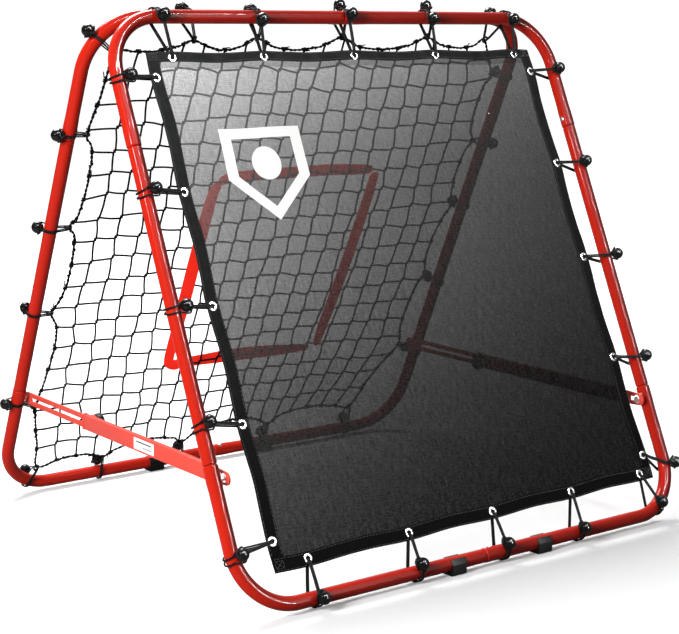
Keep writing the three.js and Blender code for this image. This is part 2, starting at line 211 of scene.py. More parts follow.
def lathe(shape, centre, axis, profile, sides, mat=0, lobe=None):
    """profile is [(radius, height)] along axis; radii of 0 close on the axis."""
    axis = axis.normalized()
    ref = Vector((0, 0, 1)) if abs(axis.z) < 0.9 else Vector((1, 0, 0))
    u = (ref - axis * ref.dot(axis)).normalized()
    v = axis.cross(u)
    verts, rings = [], []
    for r, h in profile:
        if r <= 1e-6:
            rings.append([len(verts)])
            verts.append(centre + axis * h)
            continue
        rings.append(range(len(verts), len(verts) + sides))
        for k in range(sides):
            ang = TAU * k / sides
            verts.append(at_radius(centre + axis * h, u, v, r * (lobe(ang, r) if lobe else 1.0), ang))
    faces, uvs = [], []
    for a, b in zip(rings, rings[1:]):
        for k in range(sides):
            m = (k + 1) % sides
            corners = [a[k % len(a)], a[m % len(a)], b[m % len(b)], b[k % len(b)]]
            face = list(dict.fromkeys(corners))
            if len(face) > 2:
                faces.append(face)
                uvs.append([(k / sides, 0)] * len(face))
    shape.add(verts, faces, uvs, mat)


def polyline(points, step):
    """Points spaced evenly along a polyline, keeping both ends."""
    total = runs(points)[-1]
    count = max(1, round(total / step))
    out, need, run = [points[0].copy()], total / count, 0.0
    for a, b in zip(points, points[1:]):
        seg = (b - a).length
        while seg > 0 and len(out) < count and run + seg >= need * len(out) - 1e-9:
            out.append(a.lerp(b, (need * len(out) - run) / seg))
        run += seg
    out.append(points[-1].copy())
    return out


def grid_layer(columns, rows, uv, base=0, stride=0, turned=False):
    """Faces and UVs over a grid of vertices, numbered from base with stride between its rows."""
    stride = stride or len(columns)
    faces, uvs = [], []
    for j in range(len(rows) - 1):
        for i in range(len(columns) - 1):
            k = base + j * stride + i
            face = [k, k + 1, k + stride + 1, k + stride]
            corners = [uv(columns[i + a], rows[j + b]) for a, b in ((0, 0), (1, 0), (1, 1), (0, 1))]
            faces.append(face[::-1] if turned else face)
            uvs.append(corners[::-1] if turned else corners)
    return faces, uvs


def spline(points, per, closed=False):
    """A Catmull-Rom curve through points, with per steps between each two of them."""
    n = len(points)
    out = []
    spans = n if closed else n - 1
    for i in range(spans):
        p1, p2 = points[i], points[(i + 1) % n]
        p0 = points[(i - 1) % n] if closed or i > 0 else p1 * 2 - p2
        p3 = points[(i + 2) % n] if closed or i + 2 < n else p2 * 2 - p1
        for k in range(per):
            t = k / per
            out.append(0.5 * (
                2 * p1 + (p2 - p0) * t + (2 * p0 - 5 * p1 + 4 * p2 - p3) * t * t
                + (3 * p1 - p0 - 3 * p2 + p3) * t * t * t))
    if not closed:
        out.append(points[-1].copy())
    return out


# ---------------------------------------------------------------- materials

class Nodes:
    """A short way to write node trees."""

    def __init__(self, tree):
        self.tree = tree
        self.nodes = tree.nodes
        self.coords = None

    def node(self, kind, **props):
        made = self.nodes.new(kind)
        for key, value in props.items():
            setattr(made, key, value)
        return made

    def fill(self, socket, value):
        """Links a socket to another one, or sets its own value."""
        if isinstance(value, bpy.types.NodeSocket):
            self.tree.links.new(value, socket)
        else:
            socket.default_value = value

    def feed(self, made, *values, **named):
        """Fills a node's inputs by their order or their names; gives its first output."""
        for key, value in [*enumerate(values), *named.items()]:
            self.fill(made.inputs[key], value)
        return made.outputs[0]

    def coordinate(self, kind):
        if self.coords is None:
            self.coords = self.node("ShaderNodeTexCoord")
        return self.coords.outputs[kind]

    def position(self):
        return self.coordinate("Object")

    def uv(self):
        return self.coordinate("UV")

    def camera_ray(self):
        return self.node("ShaderNodeLightPath").outputs["Is Camera Ray"]

    def noise(self, scale, detail=3.0, rough=0.5, vector=None):
        made = self.node("ShaderNodeTexNoise")
        vector = vector or self.position()
        return self.feed(made, Vector=vector, Scale=scale, Detail=detail, Roughness=rough)

    def math(self, op, a, b=0.0, clamp=False):
        return self.feed(self.node("ShaderNodeMath", operation=op, use_clamp=clamp), a, b)

    def add(self, a, b):
        return self.math("ADD", a, b)

    def mul(self, a, b):
        return self.math("MULTIPLY", a, b)

    def split(self, vector):
        made = self.node("ShaderNodeSeparateXYZ")
        self.feed(made, vector)
        return made.outputs

    def ramp(self, value, lo, hi, a=0.0, b=1.0):
        return self.feed(self.node("ShaderNodeMapRange", clamp=True), value, lo, hi, a, b)

    def mix(self, value, a, b):
        """Two colours mixed: a where value is 0, b where it is 1."""
        made = self.node("ShaderNodeMix", data_type="RGBA")
        self.fill(made.inputs[0], value)
        for socket, colour in ((made.inputs[6], a), (made.inputs[7], b)):
            socket.default_value = (*colour, 1.0)
        return made.outputs[2]


class Mat(Nodes):
    """A node material on one principled shader."""

    def __init__(self, name):
        self.mat = bpy.data.materials.new(name)
        self.mat.use_nodes = True
        super().__init__(self.mat.node_tree)
        self.bsdf = self.nodes["Principled BSDF"]

    def set(self, **values):
        names = {
            "color": "Base Color", "rough": "Roughness", "metal": "Metallic",
            "spec": "Specular IOR Level", "coat": "Coat Weight", "coat_rough": "Coat Roughness",
            "coat_ior": "Coat IOR", "alpha": "Alpha",
            "emit": "Emission Color", "emit_power": "Emission Strength",
        }
        for key, value in values.items():
            self.fill(self.bsdf.inputs[names[key]], value)

    def bump(self, height, strength, distance, then=None):
        under = {"Normal": then} if then else {}
        made = self.node("ShaderNodeBump")
        out = self.feed(made, Strength=strength, Distance=distance, Height=height, **under)
        self.fill(self.bsdf.inputs["Normal"], out)
        return out


def coat_red(name, base, dark):
    m = Mat(name)
    blotch = m.noise(9.0, 2.0, 0.5)
    fine = m.noise(900.0, 2.0, 0.6)
    m.set(color=m.mix(m.ramp(blotch, 0.3, 0.7), dark, base), metal=0.0, spec=0.06)
    m.set(coat=0.62, coat_rough=0.04, coat_ior=1.33)
    m.set(rough=m.ramp(m.noise(60.0, 3.0, 0.6), 0.3, 0.7, 0.29, 0.32))
    m.bump(fine, 0.04, 0.0001)
    return m.mat


def moulded(name, base, light, rough, grain=1500.0, spec=0.5):
    m = Mat(name)
    m.set(color=m.mix(m.ramp(m.noise(30.0, 4.0, 0.7), 0.35, 0.75), base, light), spec=spec)
    m.set(rough=m.ramp(m.noise(140.0, 4.0, 0.6), 0.3, 0.7, rough - 0.03, rough + 0.04))
    m.bump(m.noise(grain, 3.0, 0.7), 0.06, 0.0001)
    return m.mat


def cord_cover(name, base, light):
    """Braided cord: two families of diagonal ridges from the length along it and the turn round it."""
    turns, strands = 420.0, 5.0
    m = Mat(name)
    u, v = m.split(m.uv())[0:2]
    along = m.mul(u, turns * TAU)
    around = m.mul(v, strands * TAU)
    one = m.math("SINE", m.add(along, around))
    two = m.math("SINE", m.math("SUBTRACT", along, around))
    ridge = m.math("MAXIMUM", one, two)
    shade = m.ramp(ridge, -0.4, 1.0)
    m.set(color=m.mix(shade, base, light), rough=0.62, spec=0.15)
    m.bump(ridge, 0.5, 0.0003)
    return m.mat


def twisted(name, base, light, pitch, strands):
    """Twisted cord: this many strands round it, their ridges pitch millimetres apart along it."""
    m = Mat(name)
    u, v = m.split(m.uv())[0:2]
    lay = m.math("SINE", m.add(m.mul(u, TAU / (pitch * MM)), m.mul(v, strands * TAU)))
    fuzz = m.noise(2500.0, 2.0, 0.7)
    m.set(color=m.mix(m.ramp(lay, -0.6, 1.0), base, light), rough=0.75, spec=0.06)
    first = m.bump(lay, 0.6, 0.0004)
    m.bump(fuzz, 0.3, 0.0002, then=first)
    return m.mat


def webbing(name, base, light, spec, ribs=0.0016, rough=0.85, painted_glow=0.0, fade=0.0):
    """Woven tape: ribs across its width and a finer twill, from UVs in metres."""
    m = Mat(name)
    u, v = m.split(m.uv())[0:2]
    rib = m.math("SINE", m.mul(u, TAU / ribs))
    cross = m.math("SINE", m.mul(v, TAU / (ribs * 0.7)))
    weave = m.mul(rib, cross)
    height = m.add(m.mul(weave, 0.6), m.mul(rib, 0.4))
    cloud = m.noise(40.0, 4.0, 0.65)
    tone = m.add(m.mul(m.ramp(height, -1.0, 1.0), 0.6), m.mul(cloud, 0.5))
    shade = m.ramp(tone, 0.2, 0.9)
    if fade:
        # painted light: paler towards the top of the panel, darker lower down
        shade = m.mul(shade, m.ramp(v, 0.0, fade, 1.0, 0.06))
    m.set(color=m.mix(shade, base, light), rough=rough, spec=spec)
    # painted glow: the tape emits light of its own so it looks brightly lit
    if painted_glow:
        m.set(emit=(*light, 1.0), emit_power=painted_glow)
    m.bump(height, 0.5, 0.0003)
    return m.mat


YARN_PITCH = 0.0013
PANEL_THROUGH = 1.12
PANEL_TONE = 0.435


def yarns(m):
    """The two families of yarn of the screen cloth, as waves across it and down it."""
    u, v = m.split(m.uv())[0:2]
    su = m.math("ABSOLUTE", m.math("SINE", m.mul(u, math.pi / YARN_PITCH)))
    sv = m.math("ABSOLUTE", m.math("SINE", m.mul(v, math.pi / YARN_PITCH)))
    return u, v, su, sv


def stretched_noise(m, across, down):
    made = m.node("ShaderNodeMapping")
    return m.noise(1.0, 2.0, 0.5, m.feed(made, Vector=m.uv(), Scale=(across, down, 1.0)))


def panel_cloth():
    """Open-weave screen cloth: black yarns with square holes between them. It is held tight. A painted light
    gradient makes it brighter and more see-through towards its upper left, and darker and more opaque towards
    the lower right."""
    m = Mat("mat_panel_mesh")
    u, v, su, sv = yarns(m)
    hole = m.mul(m.ramp(su, 0.28, 0.5), m.ramp(sv, 0.28, 0.5))
    # painted light: brighter and more see-through towards the upper left, falling off across and down
    fall = m.add(m.mul(u, 2.1), m.mul(v, 4.15))
    painted_glare = m.math("EXPONENT", m.mul(fall, -1.0))
    # threads thicker and thinner along their length, both ways, and slow drifts in the tension
    warp = stretched_noise(m, 430.0, 42.0)
    weft = stretched_noise(m, 95.0, 430.0)
    drift = m.noise(7.0, 3.0, 0.5)
    vary = m.add(m.mul(m.add(warp, weft), 0.62), m.mul(drift, 0.16))
    painted_glare = m.mul(painted_glare, m.add(vary, 0.28))
    # the sheet is folded double just inside the top hem
    folded = m.math("LESS_THAN", v, 0.0292)
    painted_glare = m.mul(painted_glare, m.math("SUBTRACT", 1.0, m.mul(folded, 0.34)))
    through = m.mul(painted_glare, PANEL_THROUGH)
    cover = m.math("SUBTRACT", 1.0, m.mul(hole, through), clamp=True)
    streaks = m.mul(m.math("SUBTRACT", m.add(warp, weft), 0.92), 0.055)
    # painted light: the yarns' grey is painted lighter where the painted glare is stronger
    grey = m.add(m.mul(painted_glare, PANEL_TONE), streaks)
    tone = m.feed(m.node("ShaderNodeCombineColor"), grey, grey, m.mul(grey, 0.985))
    m.set(color=tone, alpha=cover, rough=0.7, spec=0.02)
    m.bump(m.add(su, sv), 0.3, 0.0002)
    return m.mat


def metal(name, base, rough, grain=500.0):
    m = Mat(name)
    n = m.noise(grain, 3.0, 0.6)
    m.set(color=m.mix(n, tuple(c * 0.86 for c in base), base), metal=1.0)
    m.set(rough=m.ramp(n, 0.3, 0.7, rough - 0.06, rough + 0.1))
    m.bump(n, 0.08, 0.0002)
    return m.mat


def ink(name):
    m = Mat(name)
    _, _, su, sv = yarns(m)
    weave = m.mul(su, sv)
    cloud = m.ramp(m.noise(25.0, 4.0, 0.6), 0.3, 0.7)
    m.set(color=m.mix(cloud, (0.90, 0.90, 0.89), (0.97, 0.97, 0.96)), rough=0.6)
    # painted glow: the ink emits a little light of its own so the print looks brighter
    m.set(emit=(1.0, 1.0, 0.99, 1.0), emit_power=0.12)
    m.bump(weave, 0.25, 0.0002)
    return m.mat


def paper(name):
    m = Mat(name)
    m.set(color=m.mix(m.noise(300.0, 3.0, 0.6), (0.86, 0.86, 0.85), (0.95, 0.95, 0.94)))
    m.set(rough=0.35, coat=0.3)
    return m.mat


RED = coat_red("mat_red_coat", (0.46, 0.0140, 0.0055), (0.415, 0.0125, 0.0048))
# the brace's coat is a paler, pinker copy of the frame red: a painted reflection of the floor on it
RED_BRACE_SHEEN = coat_red("mat_red_coat_brace_sheen", (0.66, 0.064, 0.044), (0.62, 0.058, 0.040))
BALL = moulded("mat_ball", (0.003, 0.0033, 0.0036), (0.005, 0.0053, 0.0056), 0.2, 900.0, 0.45)
FOOT = moulded("mat_foot", (0.004, 0.004, 0.004), (0.007, 0.007, 0.007), 0.5, spec=0.15)
KNOB = moulded("mat_knob", (0.004, 0.004, 0.0045), (0.008, 0.008, 0.0085), 0.4, spec=0.2)
BUNGEE = cord_cover("mat_bungee_cord", (0.0025, 0.0025, 0.003), (0.009, 0.009, 0.010))
TWINE = twisted("mat_net_twine", (0.0015, 0.0015, 0.0018), (0.006, 0.006, 0.0065), 7.0, 2.0)
ROPE = twisted("mat_edge_rope", (0.002, 0.002, 0.0022), (0.008, 0.008, 0.0085), 4.0, 2.0)
# the hem's fade paints it paler towards the top of the panel: painted light
HEM = webbing("mat_hem_webbing", (0.0013, 0.0016, 0.0016), (0.066, 0.070, 0.068), 0.03, fade=0.8)
STITCH = moulded("mat_stitch_thread", (0.010, 0.010, 0.011), (0.030, 0.030, 0.032), 0.6)
# the strap's painted glow stands in for light falling on it
STRAP = webbing("mat_zone_strap", (0.86, 0.016, 0.006), (1.0, 0.028, 0.012), 0.2, 0.0018, 0.75, painted_glow=0.42)
SCREEN = panel_cloth()
ZINC = metal("mat_zinc", (0.72, 0.72, 0.73), 0.28)
EYELET = metal("mat_eyelet", (0.93, 0.93, 0.94), 0.22, 250.0)
INK = ink("mat_print_ink")
LABEL = paper("mat_label_paper")


# ---------------------------------------------------------------- frame tubes

PIECE_GAP = 0.15
ROLL = (0.0, 0.5, 1.2, 2.0, 2.6, 4.0)
ROLL_DEPTH = 2.0
SOCKET, SOCKET_RISE = 34.0, 0.6
BUTTON = [(4.6, -0.6), (4.6, 0.0), (4.2, 0.25), (3.4, 0.3), (3.3, 0.6), (3.1, 1.6), (2.2, 2.3), (0, 2.6)]
BUTTON_FROM_SEAM = 16.0


def corner_path(at, sx, top):
    """The tube's axis from the middle of the top or bottom, round the bend, to the leg's seam."""
    level, down, seam = (0.0, 1.0, SEAMS[0]) if top else (LENGTH, -1.0, SEAMS[1])
    straight = LEG_X - BEND_R
    path = [(PIECE_GAP, level)] + [(straight * k / 12, level) for k in range(1, 12)]
    for k in range(25):
        t = (k / 24) * math.pi / 2
        path.append((straight + BEND_R * math.sin(t), level + down * BEND_R * (1 - math.cos(t))))
    start = level + down * BEND_R
    path += [(LEG_X, lerp(start, seam - down * PIECE_GAP, k / 14)) for k in range(1, 15)]
    return [at(sx * x, s) for x, s in path]


def leg_path(at, sx):
    ends = SEAMS[0] + PIECE_GAP, SEAMS[1] - PIECE_GAP
    return [at(sx * LEG_X, lerp(*ends, k / 40)) for k in range(41)]


def tube_piece(name, points, body, node, flare):
    """A round tube with rolled ends. flare says which ends are the wider socket of a joint."""
    shape = Shape()
    lead = (points[1] - points[0]).normalized()
    tail = (points[-2] - points[-1]).normalized()
    pts = [points[0] + lead * r for r in ROLL] + points[1:-1]
    pts += [points[-1] + tail * r for r in reversed(ROLL)]
    lens = runs(pts)

    def radius(i):
        ends = lens[i], lens[-1] - lens[i]
        r = TUBE_R
        for wide, along in zip(flare, ends):
            if wide:
                r += SOCKET_RISE * (1 - smooth((along - SOCKET) / 5))
        return r - ROLL_DEPTH * (1 - smooth(min(ends) / 2.0)) ** 1.5

    sweep(shape, pts, radius, 40, up=Vector((1, 0.02, 0.01)))
    return shape.make(name, body, [RED], [node], sharp=50)


def snap_buttons(label, at, body):
    """The domed buttons that lock the pieces of a frame: beside each seam, and at mid width."""
    buttons = Shape()
    for sx in (-1, 1):
        for seam, d in ((SEAMS[0], -BUTTON_FROM_SEAM), (SEAMS[1], BUTTON_FROM_SEAM)):
            p = at(sx * (LEG_X - TUBE_R - 0.2), seam + d)
            lathe(buttons, p, Vector((-sx, 0, 0)), BUTTON, 20)
    for s, inward in ((0.0, 1), (LENGTH, -1)):
        p = at(BUTTON_FROM_SEAM, s + (TUBE_R + 0.2) * inward)
        lathe(buttons, p, (at(0, 1) - at(0, 0)) * inward, BUTTON, 20)
    buttons.make(f"{label}_snap_buttons", body, [ZINC])


def build_frames():
    for label, at, body in (("front", front, FRONT), ("rear", rear, REAR)):
        for side, sx in SIDES:
            for piece, node, path, flare in (
                    ("top_tube", "corner_top", corner_path(at, sx, True), (sx > 0, True)),
                    ("leg_tube", "leg", leg_path(at, sx), (False, False)),
                    ("bottom_tube", "corner_bottom", corner_path(at, sx, False), (sx > 0, True))):
                tube_piece(f"{label}_{piece}_{side}", path, body, f"{label}_{node}_{side}", flare)
        snap_buttons(label, at, body)


# ---------------------------------------------------------------- panel

TOP_X = (-383, -197, 0, 192, 392)
LEFT_S = (110, 310, 504, 700, 892)
RIGHT_S = (112, 305, 498, 701, 896)
BOTTOM_X = (-366, -157, 30, 220, 400)
TOP_S, BOTTOM_S, SIDE_X = 76.0, 929.0, 422.0
EYES = {
    "top": [(x, TOP_S) for x in TOP_X],
    "bottom": [(x, BOTTOM_S) for x in BOTTOM_X],
    "left": [(-SIDE_X, s) for s in LEFT_S],
    "right": [(SIDE_X, s) for s in RIGHT_S],
}
P_LEFT, P_RIGHT, P_TOP, P_BOTTOM = -433.0, 433.0, 65.0, 942.0
LIFT = 8.0
TIE_REACH, TIE_FADE = 95.0, 3.2


def pull(v, ties, depth, off):
    """How far the cloth stands in between an edge's eyelets, off (0 to 1) away from that edge."""
    near = min(abs(v - t) for t in ties)
    return depth * smooth(near / TIE_REACH) * (1 - smooth(off * TIE_FADE))


def cloth(x, s):
    """Where a point of the flat panel goes once it is laced in: (x, s, n)."""
    u = (x - P_LEFT) / (P_RIGHT - P_LEFT)
    v = (s - P_TOP) / (P_BOTTOM - P_TOP)
    left = lerp(0.5, 8.0, v * v)
    right = -4.0 * (1 - v) ** 2 + 9.0 * v ** 3
    dx = lerp(left * (1 if v > 0.5 else 0.6), right, u)
    top = 1.5 * (1 - u) + 3.0 * u
    bottom = lerp(5.0, -9.0, u)
    ds = lerp(top, bottom, v)
    dx += pull(s, LEFT_S, 4.0, u) - pull(s, RIGHT_S, 4.0, 1 - u)
    ds += pull(x, TOP_X, 3.2, v) - pull(x, BOTTOM_X, 2.8, 1 - v)
    belly = math.sin(math.pi * u) * math.sin(math.pi * v)
    n = LIFT - 4.0 * belly
    n += 0.9 * noise.noise(Vector((x * 0.011, s * 0.010, 3.0))) * (0.35 + belly)
    rim = 1 - smooth(12 * min(u, 1 - u, v, 1 - v))
    n += rim * (1.1 * noise.noise(Vector((x * 0.021, s * 0.021, 9.0))))
    return x + dx, s + ds, n


def on_cloth(x, s, lift=0.0):
    a, b, n = cloth(x, s)
    return front(a, b, n + lift)


def cloth_uv(x, s):
    """Metres across and down from the panel's top left corner."""
    return ((x - P_LEFT) * MM, (s - P_TOP) * MM)


def hem_piece(side, xs, ss, thick, lift):
    """One of the panel's four hems: a slab of doubled webbing with eased edges."""
    edge = 2.0
    nx, ns = len(xs), len(ss)
    verts = []
    for layer in (1, -1):
        for s in ss:
            for x in xs:
                d = min(x - xs[0], xs[-1] - x, s - ss[0], ss[-1] - s)
                dip = thick * 0.45 * (1 - smooth(d / edge))
                verts.append(on_cloth(x, s, lift + layer * (thick / 2 - dip)))
    faces, uvs = grid_layer(xs, ss, cloth_uv, turned=True)
    under, under_uvs = grid_layer(xs, ss, cloth_uv, base=nx * ns)
    faces, uvs = faces + under, uvs + under_uvs
    ring = [(0, i) for i in range(nx)] + [(j, nx - 1) for j in range(1, ns)]
    ring += [(ns - 1, i) for i in range(nx - 2, -1, -1)] + [(j, 0) for j in range(ns - 2, 0, -1)]
    for (j0, i0), (j1, i1) in zip(ring, ring[1:] + ring[:1]):
        a, b = j0 * nx + i0, j1 * nx + i1
        faces.append([a, b, b + nx * ns, a + nx * ns])
        uvs.append([cloth_uv(xs[i0], ss[j0])] * 4)
    shape = Shape()
    shape.add(verts, faces, uvs)
    return shape.make(f"hem_{side}", FRONT, [HEM], [f"panel_hem_{side}"], sharp=60)


def steps(a, b, size):
    n = max(1, round((b - a) / size))
    return [a + (b - a) * k / n for k in range(n + 1)]


def sheet_piece():
    shape = Shape()
    xs, ss = steps(P_LEFT + 3, P_RIGHT - 3, 12), steps(P_TOP + 3, P_BOTTOM - 3, 12)
    shape.add([on_cloth(x, s) for s in ss for x in xs], *grid_layer(xs, ss, cloth_uv))
    return shape.make("screen_panel", FRONT, [SCREEN], ["front_panel_mesh"], sharp=80)


def stitches(shape, path, length=4.2, gap=2.4, radius=0.42):
    """Short raised threads along a path of (x, s) on the panel's front."""
    pts = flat(path)
    run = polyline(pts, 1.0)
    pace = runs(pts)[-1] / (len(run) - 1)
    k = 0.0
    while (k + length) / pace < len(run) - 1:
        a = run[int(k / pace)]
        b = run[int((k + length) / pace)]
        ends = []
        for t, h in ((0.0, 1.1), (0.18, 1.62), (0.5, 1.75), (0.82, 1.62), (1.0, 1.1)):
            q = a.lerp(b, t)
            ends.append(on_cloth(q.x, q.y, h))
        sweep(shape, ends, radius, 5)
        k += length + gap


HEM_SIDE, HEM_TOP, HEM_BOTTOM = 24.0, 18.0, 24.0


def build_hems():
    rows = steps(P_TOP + 18, P_BOTTOM - 22, 9)
    columns = steps(P_LEFT, P_RIGHT, 9)
    return [
        hem_piece("left", steps(P_LEFT, P_LEFT + HEM_SIDE, 3), rows, 2.4, 0.0),
        hem_piece("right", steps(P_RIGHT - HEM_SIDE, P_RIGHT, 3), rows, 2.4, 0.0),
        hem_piece("top", columns, steps(P_TOP, P_TOP + HEM_TOP, 3), 2.7, 0.25),
        hem_piece("bottom", columns, steps(P_BOTTOM - HEM_BOTTOM, P_BOTTOM, 3), 2.7, 0.25),
    ]


def build_stitches():
    """Two rows along each hem, and a crossed box at each corner."""
    thread = Shape()
    for d in (2.6, HEM_SIDE - 2.6):
        for x in (P_LEFT + d, P_RIGHT - d):
            stitches(thread, [(x, P_TOP + 20), (x, P_BOTTOM - 26)])
    for s in (P_TOP + 2.6, P_TOP + HEM_TOP - 2.6, P_BOTTOM - 2.6, P_BOTTOM - HEM_BOTTOM + 2.6):
        stitches(thread, [(P_LEFT + 4, s), (P_RIGHT - 4, s)])
    for cs in (P_TOP + HEM_TOP / 2, P_BOTTOM - HEM_BOTTOM / 2):
        for cx in (P_LEFT + HEM_SIDE / 2, P_RIGHT - HEM_SIDE / 2):
            a, b, c, d = [(cx + i * 7.5, cs + j * 6.0) for i, j in ((-1, -1), (1, -1), (1, 1), (-1, 1))]
            for path in ([a, b, c, d, a], [a, c], [b, d]):
                stitches(thread, path, 2.6, 1.1, 0.5)
    return thread.make("hem_stitches", FRONT, [STITCH], sharp=60)


def build_eyelets():
    rings = Shape()
    half = [(3.7, 0.0), (3.75, 1.3), (4.2, 1.95), (5.2, 2.25),
            (6.6, 2.2), (7.8, 1.85), (8.3, 1.45), (8.2, 1.2)]
    profile = half + [(r, -h) for r, h in half[::-1][:-1]] + [(3.7, 0.0)]
    for x, s in sum(EYES.values(), []):
        centre = on_cloth(x, s)
        lathe(rings, centre, on_cloth(x, s, 1.0) - centre, profile, 32)
    return rings.make("eyelets", FRONT, [EYELET], sharp=60, weld=True)


def build_panel():
    sheet = sheet_piece()
    pieces = build_hems() + [build_stitches(), build_eyelets(), build_print()]


def build_print():
    """A plain printed mark: a home plate outline with a ball in it."""
    shape = Shape()
    cx, cs, size = -246.0, 276.0, 84.0

    def plate(k):
        w = size * k
        return [(-w, -w * 0.86), (w, -w * 0.86), (w, w * 0.22), (0, w * 1.12), (-w, w * 0.22)]

    def strip(outer, inner):
        n = len(outer)
        for i in range(n):
            a0, a1 = outer[i], outer[(i + 1) % n]
            b0, b1 = inner[i], inner[(i + 1) % n]
            count = max(1, round(math.dist(a0, a1) / 12))
            for k in range(count):
                t0, t1 = k / count, (k + 1) / count
                quad = []
                for p, q, t in ((a0, a1, t0), (a0, a1, t1), (b0, b1, t1), (b0, b1, t0)):
                    quad.append((cx + lerp(p[0], q[0], t), cs + lerp(p[1], q[1], t)))
                verts = [on_cloth(x, s, 0.45) for x, s in quad]
                shape.add(verts, [[0, 1, 2, 3]], [[cloth_uv(x, s) for x, s in quad]])

    strip(plate(1.0), plate(0.74))
    rise, radius, count = -8.0, 30.0, 40
    turns = [TAU * k / count for k in range(count)]
    disc = [(radius * math.cos(t), rise + radius * math.sin(t)) for t in turns]
    strip(disc, [(0.0, rise)] * count)
    return shape.make("printed_mark", FRONT, [INK], sharp=80, weld=True)


# ---------------------------------------------------------------- bungees

def ball_profile():
    out = [(0.0, 11.0)]
    for k in range(1, 15):
        t = math.pi * k / 17
        out.append((11 * math.sin(t), 11 * math.cos(t)))
    out += [(4.6, -10.0), (4.3, -11.4), (3.6, -12.0), (2.6, -12.0), (2.4, -10.5), (0.0, -10.0)]
    return out


def tie_frame(at, side, v):
    """The tube's axis beside a point, and the inward, outward and lengthwise directions there."""
    upright = side in ("left", "right")
    far = 1 if side in ("right", "bottom") else -1
    middle = LENGTH / 2 if upright else 0.0
    reach = (LENGTH / 2 if upright else LEG_X) - BEND_R
    past = max(0.0, abs(v - middle) - reach)
    end = 1 if v > middle else -1
    t = math.asin(min(1.0, past / BEND_R))
    drop = BEND_R * (1 - math.cos(t))
    if upright:
        x, s = far * (LEG_X - drop), v
        inward = (-far * math.cos(t), -end * math.sin(t))
    else:
        x, s = v, (LENGTH - drop if far > 0 else drop)
        inward = (-end * math.sin(t), -far * math.cos(t))
    base = at(x, s)
    u = (at(x + inward[0], s + inward[1]) - base).normalized()
    n = (at(x, s, 1.0) - base).normalized()
    return base, u, n, u.cross(n)


NECK_R, BALL_AT = TUBE_R + 2.5, 23.3
CORD_HALF = 1.7
# degrees round the tube: where the near run leaves it and the far run comes back onto it
NEAR_OFF, FAR_ON = 58, 302
# the cord's turn through an eyelet, and round the net's rope: inward, outward and lengthwise
THROUGH_EYE = [(-5.0, 3.6, 1.7), (-1.9, 2.2, 1.6), (-0.6, 0.0, 1.6), (-1.9, -2.4, 1.7), (-6.0, -3.8, 1.7)]
ROUND_ROPE = [(-1.0, 3.3, 1.6), (3.3, 1.98, 1.6), (4.5, 0.0, 1.6), (3.3, -1.98, 1.7), (-1.0, -3.3, 1.7)]


def bungee(name, body, side, place_at, v, phi, target, skew, splay, drop=0.0, flip=1.0,
           replaces=(), hook=False):
    """A ball bungee: a doubled cord tied off in a ball. One run goes from the ball's neck over the
    tube's near side to the target, the other comes back round the tube's far side and is hooked
    over the neck. phi is the ball's angle round the tube, from the inward direction towards the
    near side; flip turns the near side from the frame's outer face to its inner one. Inside here a
    place is a vector of inward, outward and lengthwise from the tube's axis."""
    shape = Shape()
    base, u, n, along = tie_frame(place_at, side, v)
    n = n * flip
    phi %= 360
    rel = target - base
    eye = Vector((rel.dot(u), rel.dot(n), rel.dot(along)))
    ca, sa = math.cos(math.radians(phi)), math.sin(math.radians(phi))

    def at(p):
        return base + u * p[0] + n * p[1] + along * p[2]

    def ring(deg, r, w):
        t = math.radians(deg)
        return Vector((r * math.cos(t), r * math.sin(t), w))

    def sideways(w):
        return Vector((0.0, 0.0, w))

    centre = ring(phi, BALL_AT, 0.0)
    inside = Vector((-ca, -sa, 0))
    if phi < 84 or phi > 330:
        neck = ((eye - centre).normalized() * 0.92 + inside * 0.35).normalized()
    else:
        neck = (Vector((sa, -ca, 0)) * 0.80 + inside * 0.42).normalized()
    lathe(shape, at(centre), -(u * neck.x + n * neck.y + along * neck.z), ball_profile(), 40)
    tip = centre + neck * 11.6
    collar = centre + neck * 13.0
    turn, rise = (ROUND_ROPE, 4.3) if hook else (THROUGH_EYE, 3.6)
    for w in (-1.0, 1.0):
        half = w * CORD_HALF
        path = [tip - neck * 2 + sideways(w * 0.9), tip + sideways(w * 1.3)]
        # the near run
        ang = phi - 38
        while ang > 66 and phi <= 330:
            path.append(ring(ang, NECK_R, half + skew[0] * (phi - ang) / max(1.0, phi - 60)))
            ang -= 24
        if phi > 84:
            path.append(ring(NEAR_OFF, NECK_R, half + skew[0]))
        lead = path[-1]
        path += [lead.lerp(eye + Vector((0, rise, half)), t) for t in (0.4, 0.75)]
        path += [eye + Vector((a, b, w * c)) for a, b, c in turn]
        # the far run, back round the tube
        last = path[-1]
        if phi < 276:
            enter = ring(FAR_ON, NECK_R, skew[1] + half)
            path += [(last + enter) / 2, enter]
            span = FAR_ON - (phi + 42)
            count = max(1, round(span / 26))
            for k in range(1, count + 1):
                f = k / count
                sag = drop * math.sin(math.pi * min(1.0, f * 0.85))
                spread = w * lerp(CORD_HALF, splay + 2.2 * f, min(1, f * 1.6))
                across = skew[1] * (1 - smooth(f)) + sag + spread
                path.append(ring(FAR_ON - span * f, NECK_R, across))
            path.append(ring(phi + 12, NECK_R + 3.2, drop * 0.3 + w * 9.5))
        else:
            back = last.lerp(centre, 0.55)
            path.append(Vector((back.x, back.y - 1.5, w * 6.0 + eye.z * 0.4)))
        path.append(centre + neck * 5.0 + sideways(w * 11.6))
        path.append(collar + sideways(w * 3.6))
        path.append(collar + Vector((-neck.y * 3.4, neck.x * 3.4, w * -0.3)))
        sweep(shape, spline([at(q) for q in path], 5), 1.35 if hook else 1.6, 9, mat=1)
    if hook:
        bind = []
        for k in range(26):
            ang = TAU * 2.4 * k / 25
            bind.append(at(eye + Vector((-5.5 - k * 0.10, 3.6 * math.sin(ang), 3.4 * math.cos(ang)))))
        sweep(shape, bind, 1.0, 6, mat=1)
    return shape.make(name, body, [BALL, BUNGEE], replaces, sharp=35)


